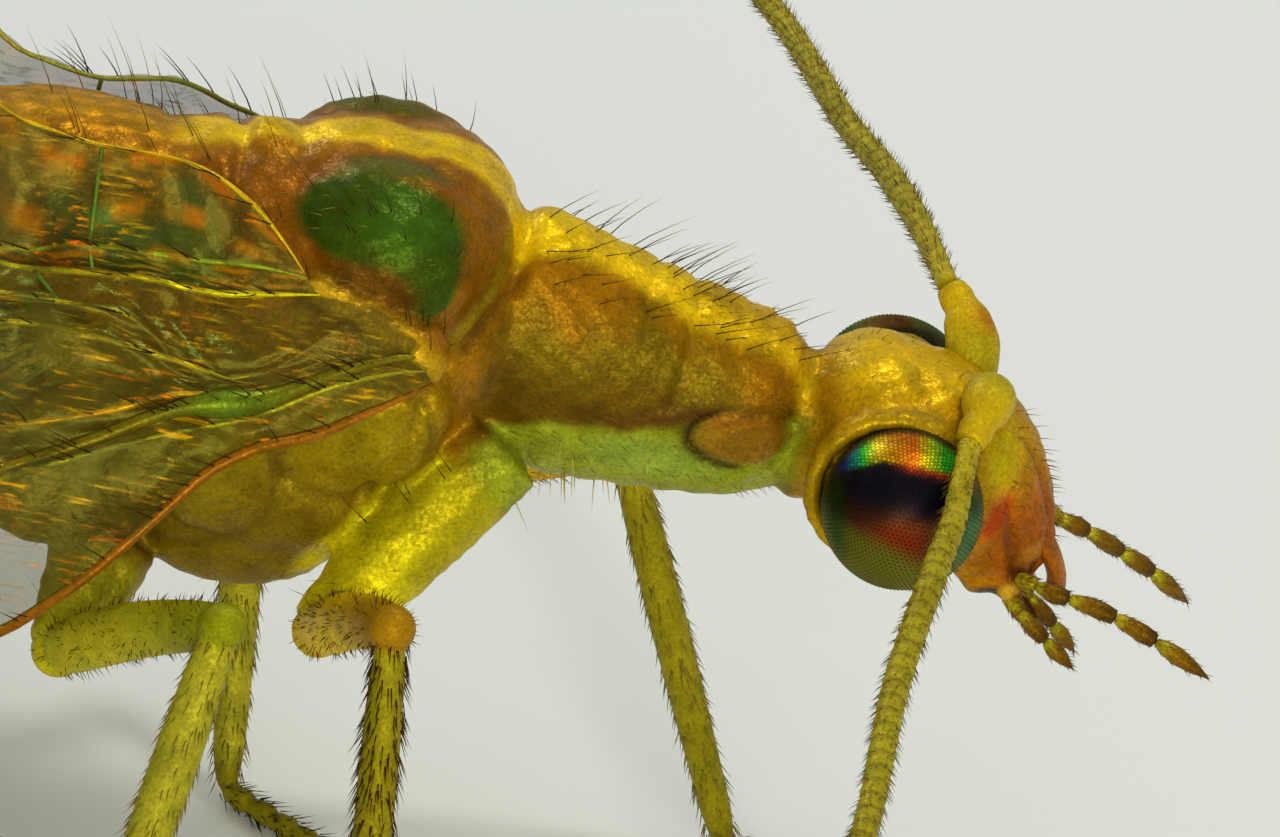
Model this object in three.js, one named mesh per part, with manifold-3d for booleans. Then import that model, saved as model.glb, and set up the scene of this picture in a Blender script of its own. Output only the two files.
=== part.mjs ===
// Green lacewing standing on a floor, life size, in millimetres.
// +X points out of the head, +Y to the animal's left, +Z up.
import * as THREE from 'three';
import { mergeVertices } from 'three/addons/utils/BufferGeometryUtils.js';
import Module from 'manifold-3d';

const wasm = await Module();
wasm.setup();

// Driving dimensions
const GAP = 0.15; // clear space between touching pieces
const FLOOR = -2.9; // height of the floor below the wing roots
const LIMB_RADIUS = 0.25; // legs and feelers
const FOOT_RADIUS = 0.26;
const EYE_RADIUS = 0.41;
const EYE_CENTRE = [2.29, 0.65, 0.03];
const WING_THICKNESS = 0.58; // over the veins
const WING_TIP_THICKNESS = 0.3;
const FOREWING_LENGTH = 14;
const HINDWING_LENGTH = 12.3;
const WING_TILT = THREE.MathUtils.degToRad(60); // slope of the folded wings
const WING_SPREAD = 0.12; // outward drift of a wing along its length
const WING_DROP = 0.06; // downward drift of a wing along its length
const WING_CAMBER = 0.06; // outward bulge as a share of the chord
const VEIN_HEIGHT = 0.07; // ridge above the membrane, on each face
const VEIN_HALF_WIDTH = 0.022; // as a share of the chord
const VEINS = [0.1, 0.2, 0.34, 0.48, 0.63, 0.8]; // across the chord, costa to hind margin
const WING_STATIONS = 15;
const ABDOMEN_SEGMENTS = 8;
const ABDOMEN_START = -2.78;
const ABDOMEN_END = -9.1;
const BODY_SIDES = 16;
const LIMB_SIDES = 8;

const COLOURS = {
  body: '#8f8a3a',
  thorax: '#7f7f35',
  head: '#c99a2e',
  eye: '#7a4a22',
  mouth: '#7a3f1c',
  palp: '#a8672a',
  antenna: '#b5a24a',
  wing: '#9aa860',
  leg: '#a9a43f',
};

const vector = (point) => new THREE.Vector3(...point);
const mirrored = (point, side) => [point[0], point[1] * side, point[2]];
const lerp = THREE.MathUtils.lerp;

// A closed solid from the vertices and triangles of a three.js geometry
function toSolid(geometry) {
  const bare = geometry.clone();
  bare.deleteAttribute('normal');
  bare.deleteAttribute('uv');
  const merged = mergeVertices(bare, 1e-5);
  return new wasm.Manifold(new wasm.Mesh({
    numProp: 3,
    vertProperties: new Float32Array(merged.attributes.position.array),
    triVerts: new Uint32Array(merged.index.array),
  }));
}

function toGeometry(solid) {
  const mesh = solid.getMesh();
  const geometry = new THREE.BufferGeometry();
  geometry.setAttribute('position', new THREE.BufferAttribute(mesh.vertProperties, 3));
  geometry.setIndex(new THREE.BufferAttribute(mesh.triVerts, 1));
  geometry.computeVertexNormals();
  return geometry;
}

function largestPiece(solid) {
  const pieces = solid.decompose();
  return pieces.reduce((best, piece) => (piece.volume() > best.volume() ? piece : best));
}

// Smooth value through the stations' values at a place between 0 and 1
function smoothly(values, place) {
  const last = values.length - 1;
  const step = Math.min(Math.floor(place * last), last - 1);
  const part = place * last - step;
  const at = (index) => values[Math.min(Math.max(index, 0), last)];
  const [before, start, end, after] = [at(step - 1), at(step), at(step + 1), at(step + 2)];
  return 0.5 * (2 * start + (end - before) * part
    + (2 * before - 5 * start + 4 * end - after) * part ** 2
    + (3 * start - before - 3 * end + after) * part ** 3);
}

// A rounded body through stations [x, y, z, half width, rise above, fall below].
// The ring count sets how smoothly it bends. Nothing in it reaches under the floor.
function loft(stations, { rings, sides = LIMB_SIDES, pad = 0 }) {
  const column = (index) => stations.map((station) => station[index]);
  const columns = [0, 1, 2, 3, 4, 5].map(column);
  const centre = (place) => new THREE.Vector3(...[0, 1, 2].map((axis) => smoothly(columns[axis], place)));
  const geometry = new THREE.CylinderGeometry(1, 1, 1, sides, rings, false, Math.PI / sides);
  const position = geometry.attributes.position;
  for (let index = 0; index < position.count; index += 1) {
    const place = THREE.MathUtils.clamp(0.5 - position.getY(index), 0, 1);
    const ahead = centre(Math.min(place + 0.02, 1));
    const behind = centre(Math.max(place - 0.02, 0));
    const tangent = ahead.sub(behind).normalize();
    const upright = Math.abs(tangent.z) > 0.95 ? new THREE.Vector3(1, 0, 0) : new THREE.Vector3(0, 0, 1);
    const sideways = new THREE.Vector3().crossVectors(upright, tangent).normalize();
    const up = new THREE.Vector3().crossVectors(tangent, sideways).normalize();
    const across = position.getX(index);
    const above = position.getZ(index);
    const width = Math.max(smoothly(columns[3], place), 0.01) + pad;
    const height = Math.max(smoothly(columns[above > 0 ? 4 : 5], place), 0.01) + pad;
    const point = centre(place)
      .addScaledVector(sideways, across * width)
      .addScaledVector(up, above * height);
    if (place === 0) point.addScaledVector(tangent, -pad);
    if (place === 1) point.addScaledVector(tangent, pad);
    position.setXYZ(index, point.x, point.y, pad > 0 ? point.z : Math.max(point.z, FLOOR));
  }
  const solid = toSolid(geometry);
  return solid.volume() > 0 ? solid : toSolid(flipped(geometry));
}

function flipped(geometry) {
  const turned = geometry.clone();
  const index = turned.index.array;
  for (let corner = 0; corner < index.length; corner += 3) {
    [index[corner], index[corner + 1]] = [index[corner + 1], index[corner]];
  }
  return turned;
}

// A limb of round section through points, with a radius at each
const limb = (points, radii, rings) => (pad) => loft(
  points.map((point, index) => [...point, radii[index], radii[index], radii[index]]),
  { rings, pad },
);

// A body piece along X through stations [x, half width, top, bottom]
const bodyPiece = (stations, rings, sides = BODY_SIDES) => (pad) => loft(
  stations.map(([x, halfWidth, top, bottom]) => {
    const middle = (top + bottom) / 2;
    return [x, 0, middle, halfWidth, top - middle, middle - bottom];
  }),
  { rings, sides, pad },
);

function eye(side) {
  return (pad) => {
    const ball = new THREE.SphereGeometry(EYE_RADIUS + pad, 18, 12);
    ball.rotateX(Math.PI / 2);
    ball.translate(...mirrored(EYE_CENTRE, side));
    return toSolid(ball);
  };
}

// Wings

// Distances from the wing's long axis to its front and hind margins
const frontMargin = (place, breadth) => breadth * Math.tanh(7.6 * place) * Math.sqrt(1 - place ** 2.6);
const hindMargin = (place, breadth) => breadth * Math.sin(Math.PI * place ** 1.05) ** 0.95;
const FOREWING_BREADTHS = [2.3, 2.45];
const HINDWING_BREADTHS = [1.85, 1.5];
const ROOT_HALF_CHORD = 0.25;
const TIP_HALF_CHORD = 0.12;
const FULL_VEIN_CHORD = 1.6; // where the wing is narrower the ridges are lower

function veinColumns() {
  const columns = [{ chord: 0, raise: 1 }, { chord: 2 * VEIN_HALF_WIDTH, raise: 0 }];
  for (const chord of VEINS) {
    columns.push({ chord: chord - VEIN_HALF_WIDTH, raise: 0 });
    columns.push({ chord, raise: 1 });
    columns.push({ chord: chord + VEIN_HALF_WIDTH, raise: 0 });
  }
  columns.push({ chord: 1 - 2 * VEIN_HALF_WIDTH, raise: 0 }, { chord: 1, raise: 1 });
  return columns;
}

// A thin cambered vane with the same triangles on both faces
function wing({ root, length, breadths, side }) {
  return (pad) => {
    const along = new THREE.Vector3(-1, -WING_SPREAD, -WING_DROP).normalize();
    const chordwise = new THREE.Vector3(0, Math.cos(WING_TILT), Math.sin(WING_TILT));
    const outward = new THREE.Vector3().crossVectors(chordwise, along).normalize();
    const columns = veinColumns();
    const points = [];
    for (const face of [1, -1]) {
      for (let station = 0; station <= WING_STATIONS; station += 1) {
        const place = 0.5 - 0.5 * Math.cos(Math.PI * station / WING_STATIONS);
        const blunt = lerp(ROOT_HALF_CHORD, TIP_HALF_CHORD, place);
        const low = -Math.max(frontMargin(place, breadths[0]), blunt) - pad;
        const high = Math.max(hindMargin(place, breadths[1]), blunt) + pad;
        const ridge = VEIN_HEIGHT * Math.min(1, (high - low) / FULL_VEIN_CHORD);
        const distance = place * length + (place === 1 ? pad : 0) - (place === 0 ? pad : 0);
        for (const { chord, raise } of columns) {
          const across = lerp(low, high, chord);
          const bulge = WING_CAMBER * (high - low) * 4 * chord * (1 - chord);
          const thickness = lerp(WING_THICKNESS, WING_TIP_THICKNESS, place ** 3);
          const half = thickness / 2 - ridge * (1 - raise) + pad;
          points.push(vector(root)
            .addScaledVector(along, distance)
            .addScaledVector(chordwise, across)
            .addScaledVector(outward, bulge + face * half));
        }
      }
    }
    const columnCount = columns.length;
    const faceCount = columnCount * (WING_STATIONS + 1);
    const at = (face, station, column) => face * faceCount + station * columnCount + column;
    const triangles = [];
    const quad = (a, b, c, d) => triangles.push(a, b, c, a, c, d);
    for (let station = 0; station < WING_STATIONS; station += 1) {
      for (let column = 0; column < columnCount - 1; column += 1) {
        quad(at(0, station, column), at(0, station, column + 1),
          at(0, station + 1, column + 1), at(0, station + 1, column));
        triangles.push(
          at(1, station, column), at(1, station + 1, column + 1), at(1, station, column + 1),
          at(1, station, column), at(1, station + 1, column), at(1, station + 1, column + 1),
        );
      }
      const edge = columnCount - 1;
      quad(at(0, station, 0), at(0, station + 1, 0), at(1, station + 1, 0), at(1, station, 0));
      quad(at(0, station, edge), at(1, station, edge), at(1, station + 1, edge), at(0, station + 1, edge));
    }
    for (let column = 0; column < columnCount - 1; column += 1) {
      const last = WING_STATIONS;
      quad(at(0, 0, column), at(1, 0, column), at(1, 0, column + 1), at(0, 0, column + 1));
      quad(at(0, last, column), at(0, last, column + 1), at(1, last, column + 1), at(1, last, column));
    }
    const geometry = new THREE.BufferGeometry().setFromPoints(
      points.map((point) => new THREE.Vector3(point.x, point.y * -side, point.z)),
    );
    geometry.setIndex(triangles);
    const solid = toSolid(geometry);
    return solid.volume() > 0 ? solid : toSolid(flipped(geometry));
  };
}

// The hind wings lie inside the front wings' roof, one thickness and one gap away
const WING_STEP = WING_THICKNESS + GAP;
const HINDWING_SETBACK = 1.45;
const FOREWING_ROOT = [-0.3, -1.02, 0.5];
const HINDWING_ROOT = [
  FOREWING_ROOT[0] - HINDWING_SETBACK,
  FOREWING_ROOT[1] - WING_SPREAD * HINDWING_SETBACK + WING_STEP * Math.sin(WING_TILT),
  FOREWING_ROOT[2] - WING_DROP * HINDWING_SETBACK - WING_STEP * Math.cos(WING_TILT),
];

// Legs

// Joint points on the right: coxa root, coxa end, knee, ankle, claw
const LEGS = {
  leg_front_right: {
    side: 1,
    joints: [
      [0.2, -0.42, -0.3], [-0.42, -0.78, -1.18], [-0.25, -2.2, -0.4],
      [0.05, -2.75, -2.5], [0.6, -3.6, -2.66],
    ],
  },
  leg_mid_right: {
    side: 1,
    joints: [
      [-1.55, -0.55, -1.1], [-1.68, -0.9, -1.5], [-1.09, -2.45, -0.44],
      [-1.4, -3.05, -2.5], [-1.8, -4.0, -2.66],
    ],
  },
  leg_hind_right: {
    side: 1,
    joints: [
      [-2.2, -0.5, -1.35], [-2.75, -0.62, -1.8], [-4.8, -0.8, -1.6],
      [-7.2, -1.3, -2.55], [-8.4, -1.7, -2.66],
    ],
  },
  leg_front_left: {
    side: -1,
    joints: [
      [0.2, -0.42, -0.3], [-0.35, -0.75, -1.18], [1.1, -1.1, -0.75],
      [2.1, -1.0, -2.5], [2.95, -0.85, -2.66],
    ],
  },
  leg_mid_left: {
    side: -1,
    joints: [
      [-1.55, -0.55, -1.1], [-1.6, -0.8, -1.45], [-0.8, -1.7, -0.75],
      [-0.52, -0.57, -2.5], [0.04, -0.05, -2.66],
    ],
  },
  leg_hind_left: {
    side: -1,
    joints: [
      [-2.2, -0.5, -1.35], [-2.75, -0.62, -1.8], [-4.7, -0.8, -1.6],
      [-6.9, -1.35, -2.55], [-8.05, -1.85, -2.66],
    ],
  },
};
const COXA_FLARE = 1.3; // the top of a coxa against a plain limb

function legPieces(name, { side, joints }) {
  const [root, hip, knee, ankle, claw] = joints.map((joint) => mirrored(joint, side));
  const thick = LIMB_RADIUS;
  const sole = FLOOR + FOOT_RADIUS * Math.cos(Math.PI / LIMB_SIDES);
  const heel = [ankle[0], ankle[1], sole];
  const toe = [claw[0], claw[1], sole];
  return [
    [`${name}_coxa`, 'leg', limb([root, hip], [thick * COXA_FLARE, thick * 1.05], 3)],
    [`${name}_femur`, 'leg', limb([hip, knee], [thick * 1.1, thick * 1.05], 3)],
    [`${name}_tibia`, 'leg', limb([knee, ankle], [thick, thick], 3)],
    [`${name}_tarsus`, 'leg', limb([heel, toe], [FOOT_RADIUS, FOOT_RADIUS], 4)],
  ];
}

// Feelers

// Points along each feeler, right and left, as the pose has them
const FEELERS = {
  right: {
    maxillary: [[3.02, -0.3, -0.4], [3.45, -0.44, -0.42], [4.03, -0.62, -0.59]],
    labial: [[2.99, -0.16, -0.62], [3.2, -0.2, -0.82], [3.41, -0.25, -0.95]],
    scape: [[2.6, -0.2, 0.5], [2.6, -0.34, 0.56], [2.54, -0.52, 0.43]],
    flagellum: [[2.55, -0.55, 0.41], [2.36, -1.7, 0.22], [2.16, -2.7, 0.05], [1.96, -4.1, -0.18],
      [1.55, -5.3, -0.2], [0.6, -6.3, 0], [-0.9, -7, 0.3], [-2.8, -7.4, 0.7]],
  },
  left: {
    maxillary: [[3.12, 0.24, -0.3], [3.6, 0.4, -0.46], [4.04, 0.6, -0.78]],
    labial: [[3.08, 0.12, -0.66], [3.3, 0.15, -0.86], [3.47, 0.2, -1.02]],
    scape: [[2.6, 0.2, 0.48], [2.54, 0.34, 0.68], [2.42, 0.5, 0.75]],
    flagellum: [[2.41, 0.5, 0.75], [2.31, 1.23, 0.71], [2.02, 2.78, 0.52], [1.77, 4.2, 0.38],
      [1.3, 5.4, 0.35], [0.4, 6.3, 0.4], [-1, 7, 0.6], [-2.8, 7.4, 0.9]],
  },
};
const FLAGELLUM_LENGTHS = 3;
const FLAGELLUM_TAPER_START = 0.8; // as a share of its length
const FLAGELLUM_TIP = 0.4; // of its full radius

// One length of the flagellum, thinner in the last one
function flagellumPiece(route, part) {
  const curve = new THREE.CatmullRomCurve3(route.map(vector));
  const steps = 5;
  const points = [];
  const radii = [];
  for (let step = 0; step <= steps; step += 1) {
    const place = (part + step / steps) / FLAGELLUM_LENGTHS;
    points.push(curve.getPointAt(place).toArray());
    const tapered = Math.max((place - FLAGELLUM_TAPER_START) / (1 - FLAGELLUM_TAPER_START), 0);
    radii.push(LIMB_RADIUS * lerp(1, FLAGELLUM_TIP, tapered));
  }
  return limb(points, radii, 7);
}

// Abdomen, a row of rings that swell to their full girth and then narrow to the tail
const ABDOMEN_RADII = { across: 0.52, upright: 0.6 };
const ABDOMEN_SAG = { start: -0.42, fall: -0.25 };
const RING_ENDS = 0.93; // each ring is a little narrower at its ends
const girthAt = (place) => Math.min(0.8 + place * 0.5, 1) * (1 - 2.4 * Math.max(place - 0.75, 0) ** 1.4);

function abdomenPiece(index) {
  const length = (ABDOMEN_START - ABDOMEN_END) / ABDOMEN_SEGMENTS;
  const start = ABDOMEN_START - index * length;
  const stations = [0, 0.33, 0.67, 1].map((part) => {
    const x = start - part * (length - GAP);
    const place = (ABDOMEN_START - x) / (ABDOMEN_START - ABDOMEN_END);
    const girth = girthAt(place) * (part === 0 || part === 1 ? RING_ENDS : 1);
    const middle = ABDOMEN_SAG.start + ABDOMEN_SAG.fall * place;
    const rise = ABDOMEN_RADII.upright * girth;
    return [x, ABDOMEN_RADII.across * girth, middle + rise, middle - rise];
  });
  return bodyPiece(stations, 3, 14);
}

const MANDIBLE = [[3.02, -0.1, -0.62], [3.2, -0.07, -0.86]];
const SCUTUM_LOBE = { centre: [-0.5, 0.42, 0.82], radii: [0.5, 0.37, 0.46] };

function ellipsoid({ centre, radii }, side, pad) {
  const ball = new THREE.SphereGeometry(1, 12, 9);
  ball.scale(...radii.map((radius) => radius + pad));
  ball.translate(...mirrored(centre, side));
  return toSolid(ball);
}

// The middle of the thorax, with the two flight-muscle lobes of its back
function mesothorax(pad) {
  const trunk = bodyPiece([
    [0.14, 0.4, 1.12, 0.35], [0.02, 0.58, 1.2, 0.1], [-0.2, 0.7, 1.23, -0.2], [-0.6, 0.86, 1.22, -0.72],
    [-1.1, 0.88, 1.12, -1.05], [-1.32, 0.84, 1.06, -1.08]], 10)(pad);
  return trunk.add(ellipsoid(SCUTUM_LOBE, 1, pad)).add(ellipsoid(SCUTUM_LOBE, -1, pad));
}

// All pieces, each kept clear of the ones before it
const PIECES = [
  ['eye_right', 'eye', eye(-1)],
  ['eye_left', 'eye', eye(1)],
  ['prothorax', 'thorax', bodyPiece([
    [1.69, 0.3, 0.5, -0.28], [1.52, 0.38, 0.64, -0.36], [1.0, 0.43, 0.77, -0.4],
    [0.5, 0.47, 0.9, -0.42], [0.3, 0.44, 0.94, -0.36]], 8)],
  ['head', 'head', bodyPiece([
    [1.84, 0.3, 0.42, -0.18], [2.0, 0.52, 0.6, -0.34], [2.3, 0.6, 0.69, -0.46], [2.6, 0.56, 0.58, -0.55],
    [2.8, 0.48, 0.36, -0.6], [2.98, 0.38, 0.08, -0.6], [3.1, 0.26, -0.1, -0.52]], 12, 20)],
  ['mesothorax', 'thorax', mesothorax],
  ['metathorax', 'thorax', bodyPiece([
    [-1.47, 0.8, 1.08, -1.08], [-1.9, 0.76, 1.0, -1.15],
    [-2.35, 0.6, 0.75, -1.08], [-2.63, 0.45, 0.4, -0.95]], 6)],
];
for (let index = 0; index < ABDOMEN_SEGMENTS; index += 1) {
  PIECES.push([`abdomen_${index + 1}`, 'body', abdomenPiece(index)]);
}

for (const [label, side] of [['right', 1], ['left', -1]]) {
  const { maxillary, labial, scape, flagellum } = FEELERS[label];
  const jaw = MANDIBLE.map((point) => mirrored(point, side));
  PIECES.push([`mandible_${label}`, 'mouth', limb(jaw, [0.1, 0.06], 2)]);
  PIECES.push([`antenna_base_${label}`, 'antenna', limb(scape, [0.22, 0.25, 0.22], 5)]);
  for (let part = 0; part < FLAGELLUM_LENGTHS; part += 1) {
    PIECES.push([`flagellum_${part + 1}_${label}`, 'antenna', flagellumPiece(flagellum, part)]);
  }
  PIECES.push([`palp_maxillary_${label}`, 'palp', limb(maxillary, [0.14, 0.17, 0.09], 5)]);
  PIECES.push([`palp_labial_${label}`, 'palp', limb(labial, [0.1, 0.12, 0.07], 4)]);
}
PIECES.push(['labrum', 'mouth', limb([[3.2, 0, -0.2], [3.29, 0, -0.56]], [0.2, 0.12], 2)]);
for (const [label, side] of [['right', -1], ['left', 1]]) {
  PIECES.push([`forewing_${label}`, 'wing', wing({
    root: FOREWING_ROOT, length: FOREWING_LENGTH, breadths: FOREWING_BREADTHS, side })]);
  PIECES.push([`hindwing_${label}`, 'wing', wing({
    root: HINDWING_ROOT, length: HINDWING_LENGTH, breadths: HINDWING_BREADTHS, side })]);
}
for (const [name, leg] of Object.entries(LEGS)) PIECES.push(...legPieces(name, leg));

const overlapping = (a, b) => [0, 1, 2].every(
  (axis) => a.min[axis] < b.max[axis] && b.min[axis] < a.max[axis],
);

// Rest the origin on the floor, under the middle of the whole animal
const nodes = [];
const earlier = [];
for (const [name, colour, make] of PIECES) {
  let solid = make(0);
  const box = solid.boundingBox();
  for (const other of earlier) {
    if (overlapping(box, other.box)) solid = solid.subtract(other.padded);
  }
  solid = largestPiece(solid);
  const padded = make(GAP);
  earlier.push({ padded, box: padded.boundingBox() });
  nodes.push({ name, colour, solid });
}

const whole = new THREE.Box3();
for (const { solid } of nodes) {
  const box = solid.boundingBox();
  whole.expandByPoint(vector(box.min));
  whole.expandByPoint(vector(box.max));
}
const middle = whole.getCenter(new THREE.Vector3());

const group = new THREE.Group();
group.name = 'green_lacewing';
for (const { name, colour, solid } of nodes) {
  const material = new THREE.MeshStandardMaterial({ color: COLOURS[colour], roughness: 0.35, metalness: 0 });
  const mesh = new THREE.Mesh(toGeometry(solid), material);
  mesh.name = name;
  mesh.position.set(-middle.x, -middle.y, -whole.min.z);
  group.add(mesh);
}

export default group;
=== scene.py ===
import math

import bpy
import numpy as np
from mathutils import Matrix, Vector


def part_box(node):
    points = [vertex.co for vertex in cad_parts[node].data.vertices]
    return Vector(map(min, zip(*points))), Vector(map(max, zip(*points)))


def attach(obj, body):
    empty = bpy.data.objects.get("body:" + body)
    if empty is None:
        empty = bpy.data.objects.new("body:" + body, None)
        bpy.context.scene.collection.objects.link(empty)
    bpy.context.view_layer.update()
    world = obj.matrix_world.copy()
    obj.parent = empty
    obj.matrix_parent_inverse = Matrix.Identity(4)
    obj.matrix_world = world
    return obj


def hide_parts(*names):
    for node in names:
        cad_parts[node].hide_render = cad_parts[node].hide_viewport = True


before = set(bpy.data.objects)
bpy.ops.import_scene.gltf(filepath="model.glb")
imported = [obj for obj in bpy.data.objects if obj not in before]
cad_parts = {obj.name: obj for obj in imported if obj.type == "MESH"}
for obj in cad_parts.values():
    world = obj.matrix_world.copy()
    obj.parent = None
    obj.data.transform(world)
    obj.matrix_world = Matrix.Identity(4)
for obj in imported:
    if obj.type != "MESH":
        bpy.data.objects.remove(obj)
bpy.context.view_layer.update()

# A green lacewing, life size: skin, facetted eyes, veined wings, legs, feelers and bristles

# The design frame is in millimetres, with the wing roots near its origin
MM = 0.001
FLOOR = -2.9
EYE_RADIUS = 0.41
EYE_CENTRE = np.array([2.29, 0.65, 0.03])
SHIFT = np.array(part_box("eye_left")).mean(axis=0) / MM - EYE_CENTRE

# The camera of the photograph
IMAGE_SIZE = (1280, 837)
MM_PER_PIXEL = 0.005
ORIGIN_PIXEL = (450, 370)
AZIMUTH, ELEVATION, ROLL = (math.radians(angle) for angle in (-8.0, 25.0, 14.4))
LENS, SENSOR = 500.0, 36.0

SEED = 20261125
random = np.random.default_rng(SEED)
TURN = 2 * math.pi
SIDES = (("right", -1), ("left", 1))

WING_TILT = math.radians(60)
WING_SPREAD, WING_DROP, WING_CAMBER = 0.12, 0.06, 0.06
ROOT_HALF_CHORD, TIP_HALF_CHORD = 0.25, 0.12
FORE_ROOT = np.array([-0.3, -1.02, 0.5])
ROOTS_APART = 1.45
HIND_ROOT = FORE_ROOT - np.array([1, WING_SPREAD, WING_DROP]) * ROOTS_APART
FOREWING = {"root": FORE_ROOT, "length": 14.0, "breadths": (2.3, 2.45), "inset": 0.0}
HINDWING = {"root": HIND_ROOT, "length": 12.3, "breadths": (1.85, 1.5), "inset": 0.73}

# Lines of the right front wing from the front margin to the hind margin. Each starts with points
# near the body and goes on at shares of the chord given for PLACES_OUT along the wing.
PLACES_OUT = (0.2, 0.3, 0.45, 0.6, 0.8, 1.0)
NEAR_REACH = 0.2  # share of the wing that the points near the body shape
WING_LINES = {
    "costa": (((-0.19, -0.97, 0.36), (-0.36, -1.05, 0.27), (-0.72, -1.18, 0.07), (-0.98, -1.27, -0.01),
               (-1.22, -1.36, -0.16), (-1.39, -1.45, -0.36), (-1.67, -1.6, -0.68), (-1.91, -1.75, -0.88),
               (-2.14, -1.9, -1.01)), (0, 0, 0, 0, 0, 0)),
    "subcosta": (((-0.24, -0.98, 0.43), (-0.39, -1.03, 0.41), (-0.69, -1.11, 0.31), (-1.04, -1.2, 0.11),
                  (-1.4, -1.28, -0.01), (-1.84, -1.36, -0.2), (-2.26, -1.45, -0.4)),
                 (0.26, 0.14, 0.1, 0.09, 0.09, 0.09)),
    "radius": (((-0.22, -0.95, 0.5), (-0.42, -1.0, 0.47), (-0.7, -1.08, 0.36), (-1.03, -1.19, 0.2),
                (-1.42, -1.25, 0.1), (-1.84, -1.32, -0.15), (-2.27, -1.4, -0.36)),
               (0.32, 0.21, 0.17, 0.16, 0.17, 0.18)),
    "sector": (((-0.28, -0.95, 0.54), (-0.5, -1.02, 0.51), (-1.0, -1.17, 0.28), (-1.29, -1.2, 0.19),
                (-1.5, -1.22, 0.14), (-1.73, -1.24, 0.02), (-2.02, -1.26, -0.09), (-2.31, -1.3, -0.17)),
               (0.41, 0.33, 0.31, 0.3, 0.3, 0.32)),
    "media": (((-0.52, -0.94, 0.68), (-0.74, -1.05, 0.53), (-0.94, -1.1, 0.37), (-1.18, -1.15, 0.27),
               (-1.31, -1.13, 0.27), (-1.54, -1.1, 0.29), (-1.79, -1.08, 0.31), (-2.1, -1.03, 0.3),
               (-2.4, -1.0, 0.25)), (0.56, 0.48, 0.46, 0.45, 0.46, 0.46)),
    "cubitus": (((-0.62, -0.92, 0.68), (-0.75, -1.0, 0.6), (-0.96, -1.04, 0.46), (-1.24, -1.08, 0.32),
                 (-1.54, -1.04, 0.33), (-1.76, -1.0, 0.43), (-2.05, -0.96, 0.41), (-2.43, -0.92, 0.38)),
                (0.66, 0.61, 0.6, 0.6, 0.6, 0.6)),
    "anal": (((-0.83, -0.88, 0.68), (-1.13, -0.84, 0.6), (-1.36, -0.82, 0.55), (-1.7, -0.78, 0.54),
              (-1.98, -0.74, 0.49), (-2.43, -0.68, 0.43)), (0.76, 0.74, 0.74, 0.74, 0.74, 0.74)),
    "second_anal": (((-0.91, -0.84, 0.74), (-1.16, -0.8, 0.73), (-1.48, -0.76, 0.68), (-2.0, -0.68, 0.61),
                     (-2.44, -0.6, 0.49)), (0.86, 0.87, 0.87, 0.87, 0.88, 0.88)),
    "hind": (((-0.92, -0.83, 0.75), (-1.03, -0.8, 0.86), (-1.18, -0.74, 0.98), (-1.32, -0.68, 1.05),
              (-1.48, -0.62, 1.1), (-1.64, -0.55, 1.1), (-1.82, -0.46, 1.06), (-2.02, -0.4, 1.03),
              (-2.28, -0.4, 1.06), (-2.54, -0.43, 1.14)), (1, 1, 1, 1, 1, 1)),
}

# Joint points of each leg: coxa root, coxa end, knee, ankle, claw
LEGS = {
    "leg_front_right": ((0.2, -0.42, -0.3), (-0.42, -0.78, -1.18), (-0.25, -2.2, -0.4),
                        (0.05, -2.75, -2.5), (0.6, -3.6, -2.66)),
    "leg_mid_right": ((-1.55, -0.55, -1.1), (-1.68, -0.9, -1.5), (-1.09, -2.45, -0.44),
                      (-1.4, -3.05, -2.5), (-1.8, -4.0, -2.66)),
    "leg_hind_right": ((-2.2, -0.5, -1.35), (-2.75, -0.62, -1.8), (-4.8, -0.8, -1.6),
                       (-7.2, -1.3, -2.55), (-8.4, -1.7, -2.66)),
    "leg_front_left": ((0.2, 0.42, -0.3), (-0.35, 0.75, -1.18), (1.1, 1.1, -0.75),
                       (2.1, 1.0, -2.5), (2.95, 0.85, -2.66)),
    "leg_mid_left": ((-1.55, 0.55, -1.1), (-1.6, 0.8, -1.45), (-0.8, 1.7, -0.75),
                     (-0.52, 0.57, -2.5), (0.04, 0.05, -2.66)),
    "leg_hind_left": ((-2.2, 0.5, -1.35), (-2.75, 0.62, -1.8), (-4.7, 0.8, -1.6),
                      (-6.9, 1.35, -2.55), (-8.05, 1.85, -2.66)),
}
COXA_RADII = {"front": (0.27, 0.26, 0.23, 0.17), "mid": (0.26, 0.24, 0.2, 0.16),
              "hind": (0.24, 0.21, 0.18, 0.15)}
SOLE_RADIUS = 0.075

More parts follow.
